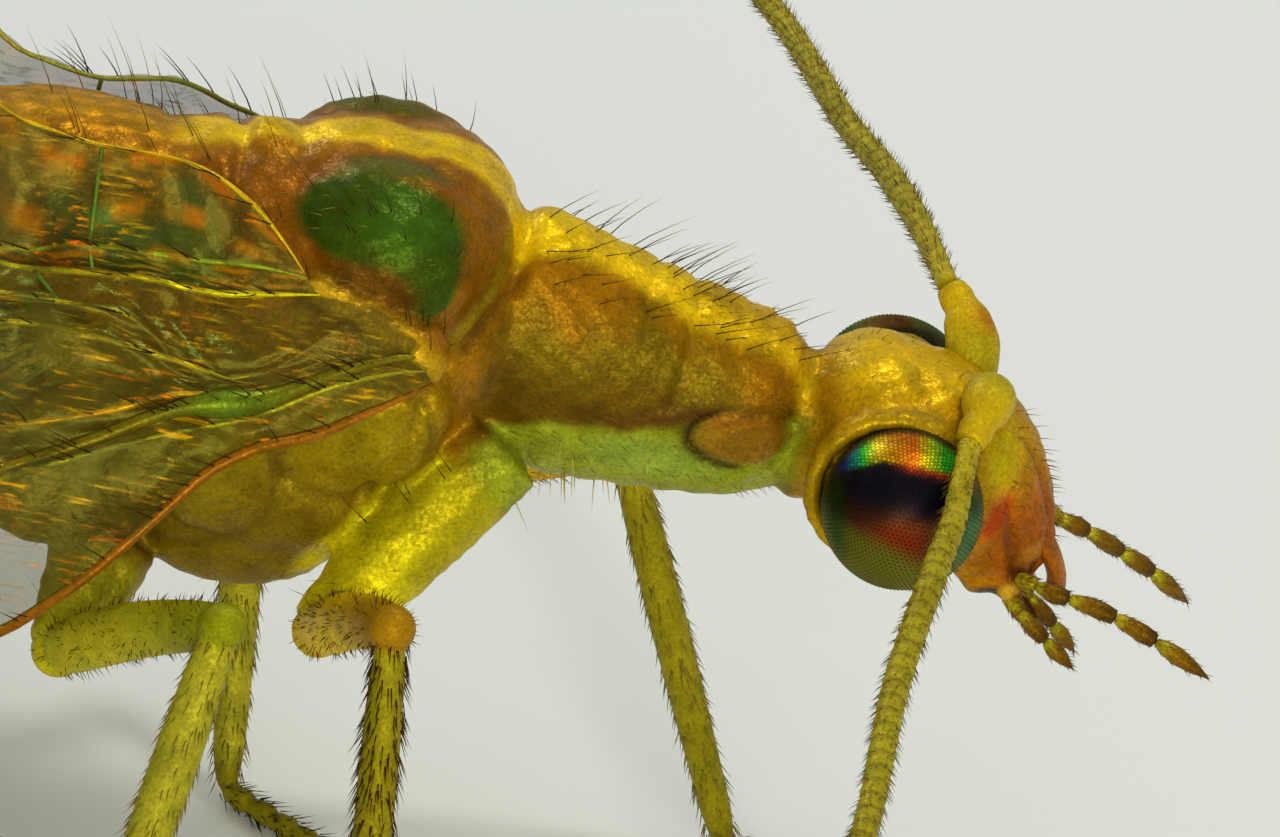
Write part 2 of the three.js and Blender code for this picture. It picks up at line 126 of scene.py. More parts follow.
FEELERS = {
    "right": {
        "maxillary": ((3.0, -0.28, -0.4), (3.2, -0.36, -0.41), (3.45, -0.44, -0.42),
                      (3.72, -0.53, -0.48), (4.03, -0.62, -0.59)),
        "labial": ((2.99, -0.16, -0.56), (3.12, -0.2, -0.66), (3.26, -0.22, -0.76), (3.41, -0.25, -0.86)),
        "scape": ((2.63, -0.17, 0.42), (2.63, -0.28, 0.54), (2.6, -0.42, 0.5), (2.55, -0.55, 0.41)),
        "flagellum": ((2.55, -0.55, 0.41), (2.46, -1.24, 0.3), (2.36, -1.7, 0.22), (2.16, -2.7, 0.05),
                      (1.96, -4.1, -0.18), (1.55, -5.3, -0.2), (0.6, -6.3, 0), (-0.9, -7, 0.3),
                      (-2.8, -7.4, 0.7)),
    },
    "left": {
        "maxillary": ((3.12, 0.22, -0.24), (3.37, 0.3, -0.34), (3.55, 0.38, -0.44),
                      (3.78, 0.48, -0.58), (4.04, 0.6, -0.78)),
        "labial": ((3.06, 0.12, -0.6), (3.2, 0.13, -0.72), (3.34, 0.16, -0.85), (3.47, 0.2, -0.98)),
        "scape": ((2.6, 0.18, 0.4), (2.57, 0.27, 0.56), (2.5, 0.38, 0.68), (2.42, 0.48, 0.75)),
        "flagellum": ((2.41, 0.5, 0.75), (2.31, 1.23, 0.71), (2.18, 2.01, 0.63), (2.02, 2.78, 0.52),
                      (1.77, 4.2, 0.38), (1.3, 5.4, 0.35), (0.4, 6.3, 0.4), (-1, 7, 0.6),
                      (-2.8, 7.4, 0.9)),
    },
}


def linear(hex_colour):
    """Scene-linear colour of a screen colour such as #c8a020"""
    channels = np.array([int(hex_colour[start:start + 2], 16) for start in (1, 3, 5)]) / 255
    return np.where(channels <= 0.04045, channels / 12.92, ((channels + 0.055) / 1.055) ** 2.4)


def as_numbers(colour):
    return linear(colour) if isinstance(colour, str) else colour


# Paths, blends and paint

def unit(vectors):
    vectors = np.asarray(vectors, float)
    return vectors / np.maximum(np.linalg.norm(vectors, axis=-1, keepdims=True), 1e-12)


def photo_axes():
    """Right, up and forward of the photograph, as fixed directions on the animal"""
    level, steep = math.cos(ELEVATION), math.sin(ELEVATION)
    right = np.array([math.cos(AZIMUTH), math.sin(AZIMUTH), 0.0])
    forward = np.array([-math.sin(AZIMUTH) * level, math.cos(AZIMUTH) * level, -steep])
    up = np.cross(right, forward)
    turned_right = math.cos(ROLL) * right + math.sin(ROLL) * up
    turned_up = -math.sin(ROLL) * right + math.cos(ROLL) * up
    return turned_right, turned_up, forward


PHOTO_RIGHT, PHOTO_UP, PHOTO_FORWARD = photo_axes()


def course(points, count):
    """Points at even places of a smooth curve through the given ones, with any number of columns"""
    points = np.asarray(points, float)
    last = len(points) - 1
    places = np.linspace(0, last, count)
    steps = np.minimum(places.astype(int), last - 1)
    part = (places - steps)[:, None]
    before, start, end, after = (points[np.clip(steps + offset, 0, last)] for offset in (-1, 0, 1, 2))
    slope, bend = end - before, 2 * before - 5 * start + 4 * end - after
    twist = 3 * start - before - 3 * end + after
    return 0.5 * (2 * start + slope * part + bend * part ** 2 + twist * part ** 3)


def smooth_values(values, count):
    """Values at even places of a smooth course through the given ones"""
    return course(np.array(values)[:, None], count)[:, 0]


def travelled(path):
    """Distance of each point of a path from its start"""
    return np.concatenate([[0], np.cumsum(np.linalg.norm(np.diff(path, axis=0), axis=1))])


def along(wanted, steps, path):
    """Points of a path at the wanted steps"""
    return np.stack([np.interp(wanted, steps, path[:, axis]) for axis in range(3)], axis=1)


def ramp(value, low, high):
    """Smooth rise from 0 at low to 1 at high"""
    share = np.clip((value - low) / (high - low), 0, 1)
    return share * share * (3 - 2 * share)


def fall(value, low, high):
    """Smooth fall from 1 at low to 0 at high"""
    return ramp(-value, -high, -low)


def bell(distance, width):
    return np.exp(-(distance / width) ** 2)


def oval(x, z, place):
    """Distance from the middle of an oval seen from the side, as a share of its size"""
    middle_x, middle_z, half_length, half_height = place
    return np.sqrt(((x - middle_x) / half_length) ** 2 + ((z - middle_z) / half_height) ** 2)


class Paint:
    """Colours of the points of a surface, blended layer over layer"""

    def __init__(self, points, colour):
        self.points = points
        self.colours = np.tile(as_numbers(colour), (len(points), 1))

    def blend(self, colour, weight):
        weight = weight[:, None]
        self.colours = self.colours * (1 - weight) + as_numbers(colour) * weight

    def surface(self, faces):
        return Shape().add(self.points, faces, self.colours)

    def patch(self, centre, radii, colour, softness=0.35, strength=1.0):
        """An ellipsoid-shaped marking with a soft edge, mirrored to both sides"""
        folded = self.points.copy()
        folded[:, 1] = np.abs(folded[:, 1])
        distance = np.linalg.norm((folded - np.asarray(centre)) / np.asarray(radii), axis=1)
        self.blend(colour, strength * np.clip((1 - distance) / softness + 0.5, 0, 1))


# Closed surfaces

WHITE = (1, 1, 1)  # until the fused skin is painted


class Shape:
    """Gathers closed surfaces in design millimetres, with a colour at each point"""

    def __init__(self):
        self.points, self.faces, self.colours, self.places, self.count = [], [], [], [], 0

    def add(self, points, faces, colour, places=None):
        points = np.asarray(points, float)
        self.faces.extend(tuple(self.count + corner for corner in face) for face in faces)
        self.points.append(points)
        self.colours.append(np.broadcast_to(np.asarray(colour, float), points.shape).copy())
        self.places.append(np.zeros((len(points), 2)) if places is None else places)
        self.count += len(points)
        return self

    def arrays(self):
        return np.vstack(self.points), self.faces, np.vstack(self.colours), np.vstack(self.places)


def ring_faces(rings, sides):
    """Faces of rings of points between one point before the first ring and one after the last"""
    faces = []
    for ring in range(rings - 1):
        for side in range(sides):
            a = 1 + ring * sides + side
            b = 1 + ring * sides + (side + 1) % sides
            faces.append((a, b, b + sides, a + sides))
    last = 1 + (rings - 1) * sides
    for side in range(sides):
        ahead = (side + 1) % sides
        faces.append((0, 1 + ahead, 1 + side))
        faces.append((last + sides, last + side, last + ahead))
    return faces


END_BULGE = 0.3  # of the half width at a tube's end


def tube(path, widths, sides, heights=None, upright=(0, 0, 1)):
    """Points and faces of a closed round tube along a path, with half widths and half heights"""
    path = np.asarray(path, float)
    widths = np.broadcast_to(widths, len(path))
    heights = widths if heights is None else np.broadcast_to(heights, len(path))
    tangents = unit(np.gradient(path, axis=0))
    reference = np.array(upright, float)
    if abs(tangents[0] @ reference) > 0.95:
        reference = np.array([1.0, 0.0, 0.0])
    up = unit(reference - (reference @ tangents[0]) * tangents[0])
    angles = np.arange(sides)[:, None] / sides * TURN
    rings = []
    for centre, tangent, width, height in zip(path, tangents, widths, heights):
        up = unit(up - (up @ tangent) * tangent)
        across = np.cross(tangent, up)
        rings.append(centre + np.cos(angles) * across * width + np.sin(angles) * up * height)
    start = path[:1] - tangents[:1] * widths[0] * END_BULGE
    end = path[-1:] + tangents[-1:] * widths[-1] * END_BULGE
    return np.vstack([start, *rings, end]), ring_faces(len(path), sides)


def round_tube(values, sides, first=0, last=1):
    """Values along a path, carried over to the points of a tube round it"""
    return np.concatenate([[first], np.repeat(values, sides), [last]])


def ball(centre, radii, sides=24, rings=14):
    """Points and faces of an ellipsoid"""
    heights = -np.cos(np.linspace(0, math.pi, rings + 1)[1:-1])
    angles = np.arange(sides) / sides * TURN
    points = [[[0, 0, -1]]]
    for height in heights:
        spread = math.sqrt(1 - height ** 2)
        ring = [np.cos(angles) * spread, np.sin(angles) * spread, np.full(sides, height)]
        points.append(np.stack(ring, axis=1))
    points.append([[0, 0, 1]])
    return np.vstack(points) * np.asarray(radii) + np.asarray(centre), ring_faces(len(heights), sides)


BODY_SIDES = 40
LEAST_HALF = 0.01


def body_loft(stations, rings=40):
    """A body tube along X through stations x, half width, top, bottom"""
    x, half_width, top, bottom = course(stations, rings).T
    path = np.stack([x, np.zeros(rings), (top + bottom) / 2], axis=1)
    half_height = np.maximum((top - bottom) / 2, LEAST_HALF)
    return tube(path, np.maximum(half_width, LEAST_HALF), BODY_SIDES, half_height)


def show(name, data):
    """A new object in the scene with the given mesh, light or camera"""
    piece = bpy.data.objects.new(name, data)
    bpy.context.scene.collection.objects.link(piece)
    return piece


def put(name, shape, material, nodes, coat=False):
    """An object from design millimetres that rides on the animal and stands for the named nodes"""
    points, faces, colours, places = shape.arrays()
    mesh = bpy.data.meshes.new(name)
    mesh.from_pydata(((points + SHIFT) * MM).tolist(), [], faces)
    mesh.validate()
    paint = mesh.color_attributes.new("Paint", "FLOAT_COLOR", "POINT")
    rgba = np.ones((len(points), 4), np.float32)
    rgba[:, :3] = np.clip(colours, 0, 1)
    paint.data.foreach_set("color", rgba.ravel())
    if coat:
        corners = np.empty(len(mesh.loops), np.int32)
        mesh.loops.foreach_get("vertex_index", corners)
        layer = mesh.uv_layers.new(name="OFBake")
        layer.data.foreach_set("uv", places[corners].astype(np.float32).ravel())
    mesh.polygons.foreach_set("use_smooth", np.ones(len(mesh.polygons), bool))
    mesh.materials.append(material)
    mesh.update()
    piece = show(name, mesh)
    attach(piece, "root")
    if nodes:
        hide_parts(*nodes)


def fuse(shape, voxel, smoothing):
    """One closed skin round the shape's overlapping surfaces"""
    points, faces, _, _ = shape.arrays()
    mesh = bpy.data.meshes.new("fusing")
    mesh.from_pydata(points.tolist(), [], faces)
    piece = show("fusing", mesh)
    remesh = piece.modifiers.new("one_skin", "REMESH")
    remesh.mode = "VOXEL"
    remesh.voxel_size = voxel
    smooth = piece.modifiers.new("soften", "SMOOTH")
    smooth.factor = 0.5
    smooth.iterations = smoothing
    fused = bpy.data.meshes.new_from_object(piece.evaluated_get(bpy.context.evaluated_depsgraph_get()))
    places = np.empty(len(fused.vertices) * 3)
    normals = np.empty(len(fused.vertices) * 3)
    fused.vertices.foreach_get("co", places)
    fused.vertices.foreach_get("normal", normals)
    skin_faces = [tuple(face.vertices) for face in fused.polygons]
    bpy.data.objects.remove(piece)
    bpy.data.meshes.remove(mesh)
    bpy.data.meshes.remove(fused)
    return places.reshape(-1, 3), normals.reshape(-1, 3), skin_faces


# Materials

GOLDEN_SHEEN = (1.0, 0.78, 0.15, 1.0)
# Painted glints of the wing membrane: stretch, scale, clearness and size of patches, then their hues
GLINT_STRETCH, GLINT_SCALE, GLINT_CLEAR, GLINT_PATCHES = (0.06, 1.0, 1.0), 38000.0, 0.75, 2600.0
GLINT_HUES = ((0.3, "#4e8a10"), (0.4, "#b88a08"), (0.52, "#f0b008"), (0.64, "#ff6a06"), (0.74, "#c8b010"))
RELIEF_DEPTH = 0.01 * MM
GLOW_DEPTH, GLOW_TINT = 0.1 * MM, (1.0, 0.75, 0.1)
FILM_INDEX = 1.6


def feed(tree, node, inputs):
    """Sets inputs of a node to numbers, or links them to the sockets that feed them"""
    for socket, value in inputs.items():
        if isinstance(value, bpy.types.NodeSocket):
            tree.links.new(value, node.inputs[socket])
        else:
            node.inputs[socket].default_value = value


def new_node(tree, kind, inputs, **settings):
    node = tree.nodes.new("ShaderNode" + kind)
    for setting, value in settings.items():
        setattr(node, setting, value)
    feed(tree, node, inputs)
    return node.outputs


def noise(tree, where, scale, detail, roughness=0.6):
    values = {"Vector": where, "Scale": scale, "Detail": detail, "Roughness": roughness}
    return new_node(tree, "TexNoise", values)["Fac"]


def spread(tree, value, low, high, to_low, to_high):
    span = {"Value": value, "From Min": low, "From Max": high, "To Min": to_low, "To Max": to_high}
    return new_node(tree, "MapRange", span)["Result"]


def scaled(tree, colour, factor):
    return new_node(tree, "VectorMath", {0: colour, "Scale": factor}, operation="SCALE")["Vector"]


def product(tree, first, second):
    return new_node(tree, "Math", {0: first, 1: second}, operation="MULTIPLY")["Value"]


def glint_share(tree, where, paint):
    """Where glints are painted on the wing: fine stretched lines, in patches, most where the paint has
    little green
    """
    stretched = new_node(tree, "Mapping", {"Scale": GLINT_STRETCH, "Vector": where})["Vector"]
    lines = spread(tree, noise(tree, stretched, GLINT_SCALE, 3.0, 0.5), 0.55, 0.68, 0.0, 1.0)
    green = new_node(tree, "SeparateColor", {"Color": paint})["Green"]
    patches = spread(tree, noise(tree, where, GLINT_PATCHES, 2.0), 0.42, 0.56, 0.1, 1.0)
    return product(tree, lines, product(tree, patches, spread(tree, green, 0.05, 0.25, 1.0, 0.1)))


def glint_hues(tree, choice):
    node = tree.nodes.new("ShaderNodeValToRGB")
    stops = node.color_ramp.elements
    while len(stops) < len(GLINT_HUES):
        stops.new(0.5)
    for stop, (place, code) in zip(stops, GLINT_HUES):
        stop.position = place
        stop.color = (*linear(code), 1)
    feed(tree, node, {"Fac": choice})
    return node.outputs["Color"]


def node_material(name, roughness, shine=0.25, clear=1.0, glow=0.0, metal=0.0, film=0.0, mottle=0.25,
                  grain=40000.0, bump=0.25, painted_sparkle=0.0, glints=False):
    """A procedural surface over the painted markings: mottling and fine grain, with painted glitter
    highlights and painted coloured glints
    """
    material = bpy.data.materials.new(name)
    material.use_nodes = True
    tree = material.node_tree
    paint = new_node(tree, "VertexColor", {}, layer_name="Paint")["Color"]
    where = new_node(tree, "TexCoord", {})["Object"]
    blotches = spread(tree, noise(tree, where, grain / 6, 6.0), 0.3, 0.7, 1 - mottle, 1 + mottle)
    fine = noise(tree, where, grain * 1.6, 2.0)
    # Specks vary in tone at random, and the brightest are lifted further by a painted glitter highlight
    specks = spread(tree, fine, 0.3, 0.7, 1 - mottle * 0.6, 1 + mottle * 0.6 + painted_sparkle)
    colour = scaled(tree, scaled(tree, paint, blotches), specks)
    # Painted glints: coloured reflections mixed into the base colour, with the membrane less clear under
    # them
    if glints:
        share = glint_share(tree, where, paint)
        hues = glint_hues(tree, noise(tree, where, grain / 8, 1.0))
        # Inputs 6 and 7 and the third output are the colours of a mix
        colour = new_node(tree, "Mix", {"Factor": share, 6: colour, 7: hues}, data_type="RGBA")[2]
        clear = spread(tree, share, 0.0, 1.0, clear, GLINT_CLEAR)
    height = noise(tree, where, grain, 3.0)
    relief = {"Strength": bump, "Distance": RELIEF_DEPTH, "Height": height}
    feed(tree, tree.nodes["Principled BSDF"], {
        "Base Color": colour,
        "Normal": new_node(tree, "Bump", relief)["Normal"],
        "Roughness": spread(tree, fine, 0.35, 0.65, roughness * 1.35, roughness * 0.75),
        "Metallic": metal,
        "Specular IOR Level": shine,
        "Specular Tint": GOLDEN_SHEEN,
        "Subsurface Weight": glow,
        "Subsurface Radius": GLOW_TINT,
        "Subsurface Scale": GLOW_DEPTH,
        "Alpha": clear,
        "Thin Film Thickness": film,
        "Thin Film IOR": FILM_INDEX,
    })
    return material


SKIN = node_material("cuticle", 0.36, shine=0.3, metal=0.3, glow=0.12, mottle=0.3, grain=30000, bump=0.6,
                     painted_sparkle=0.25)
LEG_SKIN = node_material("leg_cuticle", 0.45, shine=0.2, metal=0.15, glow=0.1, grain=34000, bump=0.6,
                         painted_sparkle=0.2)
EYE_GLAZE = node_material("eye_facets", 0.36, shine=0.2, metal=0.5, mottle=0.08, grain=50000, bump=0.05)
BRISTLES = node_material("bristles", 0.5, shine=0.2, mottle=0.2, grain=50000, bump=0.1)
MEMBRANE = node_material("wing_membrane", 0.2, shine=0.5, clear=0.34, film=430.0, mottle=0.4, grain=22000,
                         bump=0.6, glints=True)
VEIN = node_material("wing_veins", 0.32, shine=0.35, metal=0.3, glow=0.1, mottle=0.3, grain=30000,
                     bump=0.4, painted_sparkle=0.3)
MOUTH = node_material("mouthparts", 0.36, shine=0.3, metal=0.25, glow=0.1, mottle=0.35, grain=36000,
                      bump=0.6, painted_sparkle=0.3)


# Bristles

BRISTLE_LEVELS = (-0.06, 0.3, 0.68)
BRISTLE_WIDTHS = (1.0, 0.8, 0.45)
BRISTLE_FACES = ((0, 2, 1), (0, 1, 4, 3), (1, 2, 5, 4), (2, 0, 3, 5), (3, 4, 7, 6), (4, 5, 8, 7),
                 (5, 3, 6, 8), (6, 7, 9), (7, 8, 9), (8, 6, 9))
BRISTLE_POINTS = 10
DARK_BRISTLE = linear("#2a1a06")
COAT_SPOT = 0.003
COAT_TAIL, COAT_FACE, COAT_AXIS_DROP = -9.2, 4.2, 0.2
COAT_SPREAD = np.array([(0, 0), (COAT_SPOT, 0), (COAT_SPOT, COAT_SPOT)] * 3 + [(COAT_SPOT / 2,) * 2])


def grow(shape, roots, directions, lengths, width, colour, places, bend=None, curl=0.25):
    """Thin tapered three-sided bristles; bend is the way their tips lean"""
    directions = unit(directions)
    count = len(roots)
    bend = directions if bend is None else unit(np.broadcast_to(bend, roots.shape))
    helper = np.where(np.abs(directions[:, 2:]) < 0.9, [[0, 0, 1.0]], [[1.0, 0, 0]])
    across = unit(np.cross(directions, helper))
    over = np.cross(directions, across)
    columns = []
    for level, share in zip(BRISTLE_LEVELS, BRISTLE_WIDTHS):
        bow = bend * (lengths * curl * max(level, 0) ** 2)[:, None]
        centre = roots + directions * (lengths * level)[:, None] + bow
        for angle in np.arange(3) * TURN / 3:
            columns.append(centre + (across * math.cos(angle) + over * math.sin(angle)) * width * share)
    columns.append(roots + directions * lengths[:, None] + bend * (lengths * curl)[:, None])
    points = np.stack(columns, axis=1).reshape(-1, 3)
    faces = [tuple(base + corner for corner in face)
             for base in range(0, count * BRISTLE_POINTS, BRISTLE_POINTS) for face in BRISTLE_FACES]
    shape.add(points, faces, colour, (places[:, None, :] + COAT_SPREAD[None]).reshape(-1, 2))


def coat_places(across, over):
    """Places on the coat's map for shares from 0 to 1, clear of the map's edge"""
    return np.stack([across, over], axis=1) * 0.9 + 0.04


def unwrap(points):
    """Place of each point on a cylinder unrolled along the body"""
    turn = np.arctan2(points[:, 1], points[:, 2] + COAT_AXIS_DROP) / TURN + 0.5
    return coat_places((points[:, 0] - COAT_TAIL) / (COAT_FACE - COAT_TAIL), turn)


# Head and body skin

BODY_VOXEL, BODY_SMOOTHING = 0.028, 5
ABDOMEN_START, ABDOMEN_END, ABDOMEN_RINGS = -2.78, -9.0, 8
EYE_RING, EYE_RING_BALLS, EYE_RING_BACK, EYE_RING_INWARD = 0.386, 44, 0.06, 0.2
EYE_RING_RADII = (0.045, 0.08, 0.045)
HEAD_STATIONS = ((1.8, 0.26, 0.38, -0.14), (2.0, 0.44, 0.54, -0.34), (2.3, 0.54, 0.6, -0.46),
                 (2.55, 0.5, 0.5, -0.54), (2.72, 0.42, 0.34, -0.58), (2.9, 0.31, 0.1, -0.58),
                 (3.04, 0.22, -0.1, -0.56), (3.14, 0.13, -0.24, -0.5))
NECK_STATIONS = ((2.05, 0.3, 0.4, -0.3), (1.75, 0.28, 0.48, -0.31), (1.4, 0.3, 0.56, -0.28))
FIRST_RING_STATIONS = ((1.68, 0.3, 0.53, -0.3), (1.52, 0.38, 0.63, -0.36), (1.0, 0.43, 0.76, -0.41),
                       (0.5, 0.46, 0.89, -0.42), (0.2, 0.45, 0.97, -0.37), (-0.1, 0.4, 0.95, -0.25))
MIDDLE_RING_STATIONS = ((0.1, 0.4, 1.06, 0.3), (-0.02, 0.55, 1.17, 0.0), (-0.2, 0.68, 1.22, -0.3),
                        (-0.6, 0.84, 1.22, -0.76), (-1.1, 0.86, 1.12, -1.08), (-1.6, 0.78, 1.02, -1.12))
HIND_RING_STATIONS = ((-1.3, 0.78, 1.05, -1.1), (-1.9, 0.74, 0.96, -1.13), (-2.35, 0.58, 0.68, -1.05),
                      (-2.8, 0.42, 0.3, -0.95))
# Lobes: centre and radii, mirrored to both sides where the centre is off the middle
HEAD_LOBES = (((2.12, 0, 0.32), (0.36, 0.46, 0.3)), ((2.84, 0.16, -0.28), (0.19, 0.16, 0.3)),
              ((2.6, 0.2, 0.36), (0.12, 0.13, 0.13)), ((2.98, 0.2, -0.42), (0.11, 0.09, 0.15)))
THORAX_LOBES = (
    ((-0.5, 0.36, 0.82), (0.56, 0.36, 0.4)), ((-0.48, 0.56, 0.74), (0.44, 0.26, 0.38)),
    ((-1.8, 0.34, 0.56), (0.4, 0.34, 0.38)), ((-0.95, 0.3, -0.8), (0.62, 0.36, 0.42)),
    ((-0.85, 0.5, -0.5), (0.6, 0.3, 0.42)), ((-1.85, 0.28, -0.82), (0.5, 0.3, 0.4)),
    ((-0.28, 0.84, 0.46), (0.17, 0.15, 0.15)), ((-0.35, 0.62, 0.0), (0.34, 0.22, 0.42)),
    ((-1.1, 0.68, -0.2), (0.4, 0.2, 0.6)), ((-0.3, 0, 0.78), (0.48, 0.68, 0.47)),
    ((-0.6, 0, 0.78), (0.6, 0.6, 0.46)), ((-1.15, 0, 0.86), (0.26, 0.3, 0.3)),
    ((-2.05, 0, 0.72), (0.8, 0.46, 0.36)),
)
# Hinge plates at the root of each front wing: x, y, z, radius
HINGE = ((-0.84, 0.8, 0.66, 0.07), (-0.72, 0.84, 0.62, 0.08), (-0.58, 0.86, 0.58, 0.09),
         (-0.44, 0.87, 0.52, 0.1), (-0.32, 0.88, 0.46, 0.1), (-0.22, 0.88, 0.4, 0.09))
# Front edge of the middle ring where it overlaps the first one
COLLAR_HEIGHTS, COLLAR_EDGES = (0.35, 0.5, 0.67, 1.0), (-0.1, -0.03, 0.11, 0.16)
# Ovals on each side: centre x and z, half length and half height
SIDE_PLATES = ((-0.5, -0.1, 0.42, 0.36), (-1.3, -0.45, 0.5, 0.5), (-2.1, -0.3, 0.36, 0.55))
NECK_PLATE = (1.48, 0.1, 0.27, 0.15)


def abdomen_stations():
    stations = []
    for x in np.linspace(-2.5, ABDOMEN_END, ABDOMEN_RINGS + 1):
        place = max((ABDOMEN_START - x) / (ABDOMEN_START - ABDOMEN_END), 0)
        girth = min(0.8 + place * 0.5, 1) * (1 - 2.2 * max(place - 0.75, 0) ** 1.4)
        middle = -0.42 - 0.25 * place
        stations.append((x, 0.5 * girth, middle + 0.58 * girth, middle - 0.58 * girth))
    stations[-1] = (ABDOMEN_END, 0.2, stations[-1][2] - 0.15, stations[-1][3] + 0.15)
    return stations


def body_shape():
    shape = Shape()

    def add(surface):
        shape.add(*surface, WHITE)

    def add_lobes(lobes):
        for (x, y, z), radii in lobes:
            for side in (-1, 1) if y else (1,):
                add(ball((x, y * side, z), radii))

    add(body_loft(HEAD_STATIONS))
    add_lobes(HEAD_LOBES)
    for side in (-1, 1):
        for angle in np.linspace(0, TURN, EYE_RING_BALLS, endpoint=False):
            place = (EYE_RING * math.cos(angle) - EYE_RING_BACK, -side * EYE_RING_INWARD,
                     EYE_RING * math.sin(angle))
            add(ball(EYE_CENTRE * (1, side, 1) + place, EYE_RING_RADII, 12, 8))
    add(body_loft(NECK_STATIONS, 20))
    add(body_loft(FIRST_RING_STATIONS))
    add(body_loft(MIDDLE_RING_STATIONS))
    add_lobes(THORAX_LOBES)
    for side in (-1, 1):
        for x, y, z, radius in HINGE:
            add(ball((x, y * side, z), (radius * 1.2, radius, radius), 14, 10))
    for name, joints in LEGS.items():
        root, hip = np.array(joints[0]), np.array(joints[1])
        path = root + (root - hip) * 0.12 + (hip - root) * np.linspace(0, 1.12, 16)[:, None]
        add(tube(path, smooth_values(COXA_RADII[name.split("_")[1]], 16), 20))
    add(body_loft(HIND_RING_STATIONS, 24))
    add(body_loft(abdomen_stations(), 70))
    return shape


def sculpt(points, normals):
    """Seams, rings and rims of the skin, as small moves along its normals"""
    x, y, z = points.T
    width = np.abs(y)
    move = np.zeros(len(points))
    for ring in range(1, ABDOMEN_RINGS):
        seam = ABDOMEN_START - ring * (ABDOMEN_START - ABDOMEN_END) / ABDOMEN_RINGS
        move -= 0.05 * bell(x - seam, 0.035) * (x < -2.9)
    for side in (-1, 1):
        from_eye = np.linalg.norm(points - EYE_CENTRE * (1, side, 1), axis=1)
        move += 0.012 * bell(from_eye - 0.47, 0.05)
    # Neck, face and mouth
    move -= 0.02 * bell(x - 1.05 - 0.1 * z, 0.03) * (x > 0.6) * (z > 0.2)
    move -= 0.03 * bell(x - 1.72, 0.05) * (width < 0.5)
    move -= 0.022 * bell(x - 2.93 + 0.3 * (z + 0.2), 0.02) * (x > 2.7) * (z < 0.1)
    move -= 0.02 * bell(width - 0.17 - 0.2 * (2.95 - x), 0.02) * (x > 2.65) * (z < 0.35) * (z > -0.45)
    move -= 0.02 * bell(z + 0.42 - 0.3 * (x - 2.9), 0.02) * (x > 2.75) * (width > 0.12)
    neck_rim = oval(x, z, NECK_PLATE)
    move -= 0.016 * bell(neck_rim - 1.05, 0.12) * (width > 0.15) * (np.abs(x - NECK_PLATE[0]) < 0.4)
    for place, depth in ((0.8, 0.02), (1.3, 0.012), (1.46, 0.016), (1.58, 0.012)):
        move -= depth * bell(x - place - 0.12 * z - 0.03 * np.sin(y * 9), 0.025) * ramp(z, 0.35, 0.6)
    # Side plates, collar and the seams behind it
    for plate in SIDE_PLATES:
        move -= 0.02 * bell(oval(x, z, plate) - 1, 0.07) * ramp(width, 0.4, 0.5)
    collar = x - np.interp(z, COLLAR_HEIGHTS, COLLAR_EDGES)
    move -= 0.045 * bell(collar - 0.05, 0.045) * ramp(z, 0.3, 0.45)
    move -= 0.035 * bell(x + 1.38 - 0.08 * z, 0.04) * (x < -1.0) * (x > -1.7)
    move -= 0.03 * bell(x + 0.1 - 0.3 * (z - 0.4), 0.04) * (z < 0.5) * (z > -0.6) * (width > 0.45)
    move += 0.006 * np.sin(x * 31 + 2 * np.sin(z * 17)) * np.sin(z * 29 + y * 23)
    return points + normals * move[:, None]


EMERALD = "#2c4406"
# Markings on both sides: centre, radii, colour, softness of the edge and strength
MUSCLE_PATCHES = (
    ((-0.6, 0.6, 1.0), (0.44, 0.34, 0.22), EMERALD, 0.22),
    ((-0.4, 0.72, 0.88), (0.25, 0.3, 0.24), EMERALD, 0.25),
    ((-0.28, 0.76, 0.76), (0.12, 0.3, 0.15), EMERALD, 0.3),
    ((-0.45, 0.62, 1.02), (0.2, 0.2, 0.16), "#2e5c10", 0.8, 0.5),
    ((-0.62, 0.84, 0.7), (0.28, 0.2, 0.15), "#573404", 0.4),
    ((-1.8, 0.5, 0.72), (0.42, 0.34, 0.3), "#3c6a2a", 0.3),
    ((-1.45, 0.56, 0.62), (0.16, 0.2, 0.18), "#4a6f1c", 0.4),
    ((-0.65, 0.36, 1.25), (0.42, 0.12, 0.12), "#2c500c", 0.5, 0.7),
)
FACE_PATCHES = (
    ((2.95, 0.12, -0.2), (0.3, 0.34, 0.36), "#924a02", 0.6),
    ((2.76, 0.38, -0.02), (0.12, 0.26, 0.16), "#a03000", 0.6, 0.95),
    ((3.1, 0.1, -0.36), (0.18, 0.3, 0.2), "#8c4406", 0.6, 0.8),
    ((3.02, 0.24, -0.4), (0.08, 0.1, 0.12), "#54240a", 0.6, 0.9),
    ((2.9, 0.28, -0.54), (0.09, 0.12, 0.06), "#241004", 0.5),
    ((2.98, 0.24, -0.5), (0.05, 0.1, 0.06), "#c89a20", 0.5, 0.9),
    ((2.74, 0.2, 0.2), (0.12, 0.26, 0.2), "#b4a008", 0.6, 0.9),
)
NECK_FLECKS = (
    ((1.24, 0.42, 0.7), (0.1, 0.12, 0.07), "#d4c23a", 0.5),
    ((0.79, 0.42, 0.84), (0.12, 0.14, 0.07), "#d4c23a", 0.5),
    ((0.74, 0.47, 0.64), (0.05, 0.08, 0.05), "#c8b834", 0.5),
)
STRIPE_PLACES = (-2.6, -1.6, -0.9, -0.4, 0.1, 0.5, 1.7)
STRIPE_HALF_WIDTHS = (0.18, 0.12, 0.1, 0.12, 0.18, 0.2, 0.26)


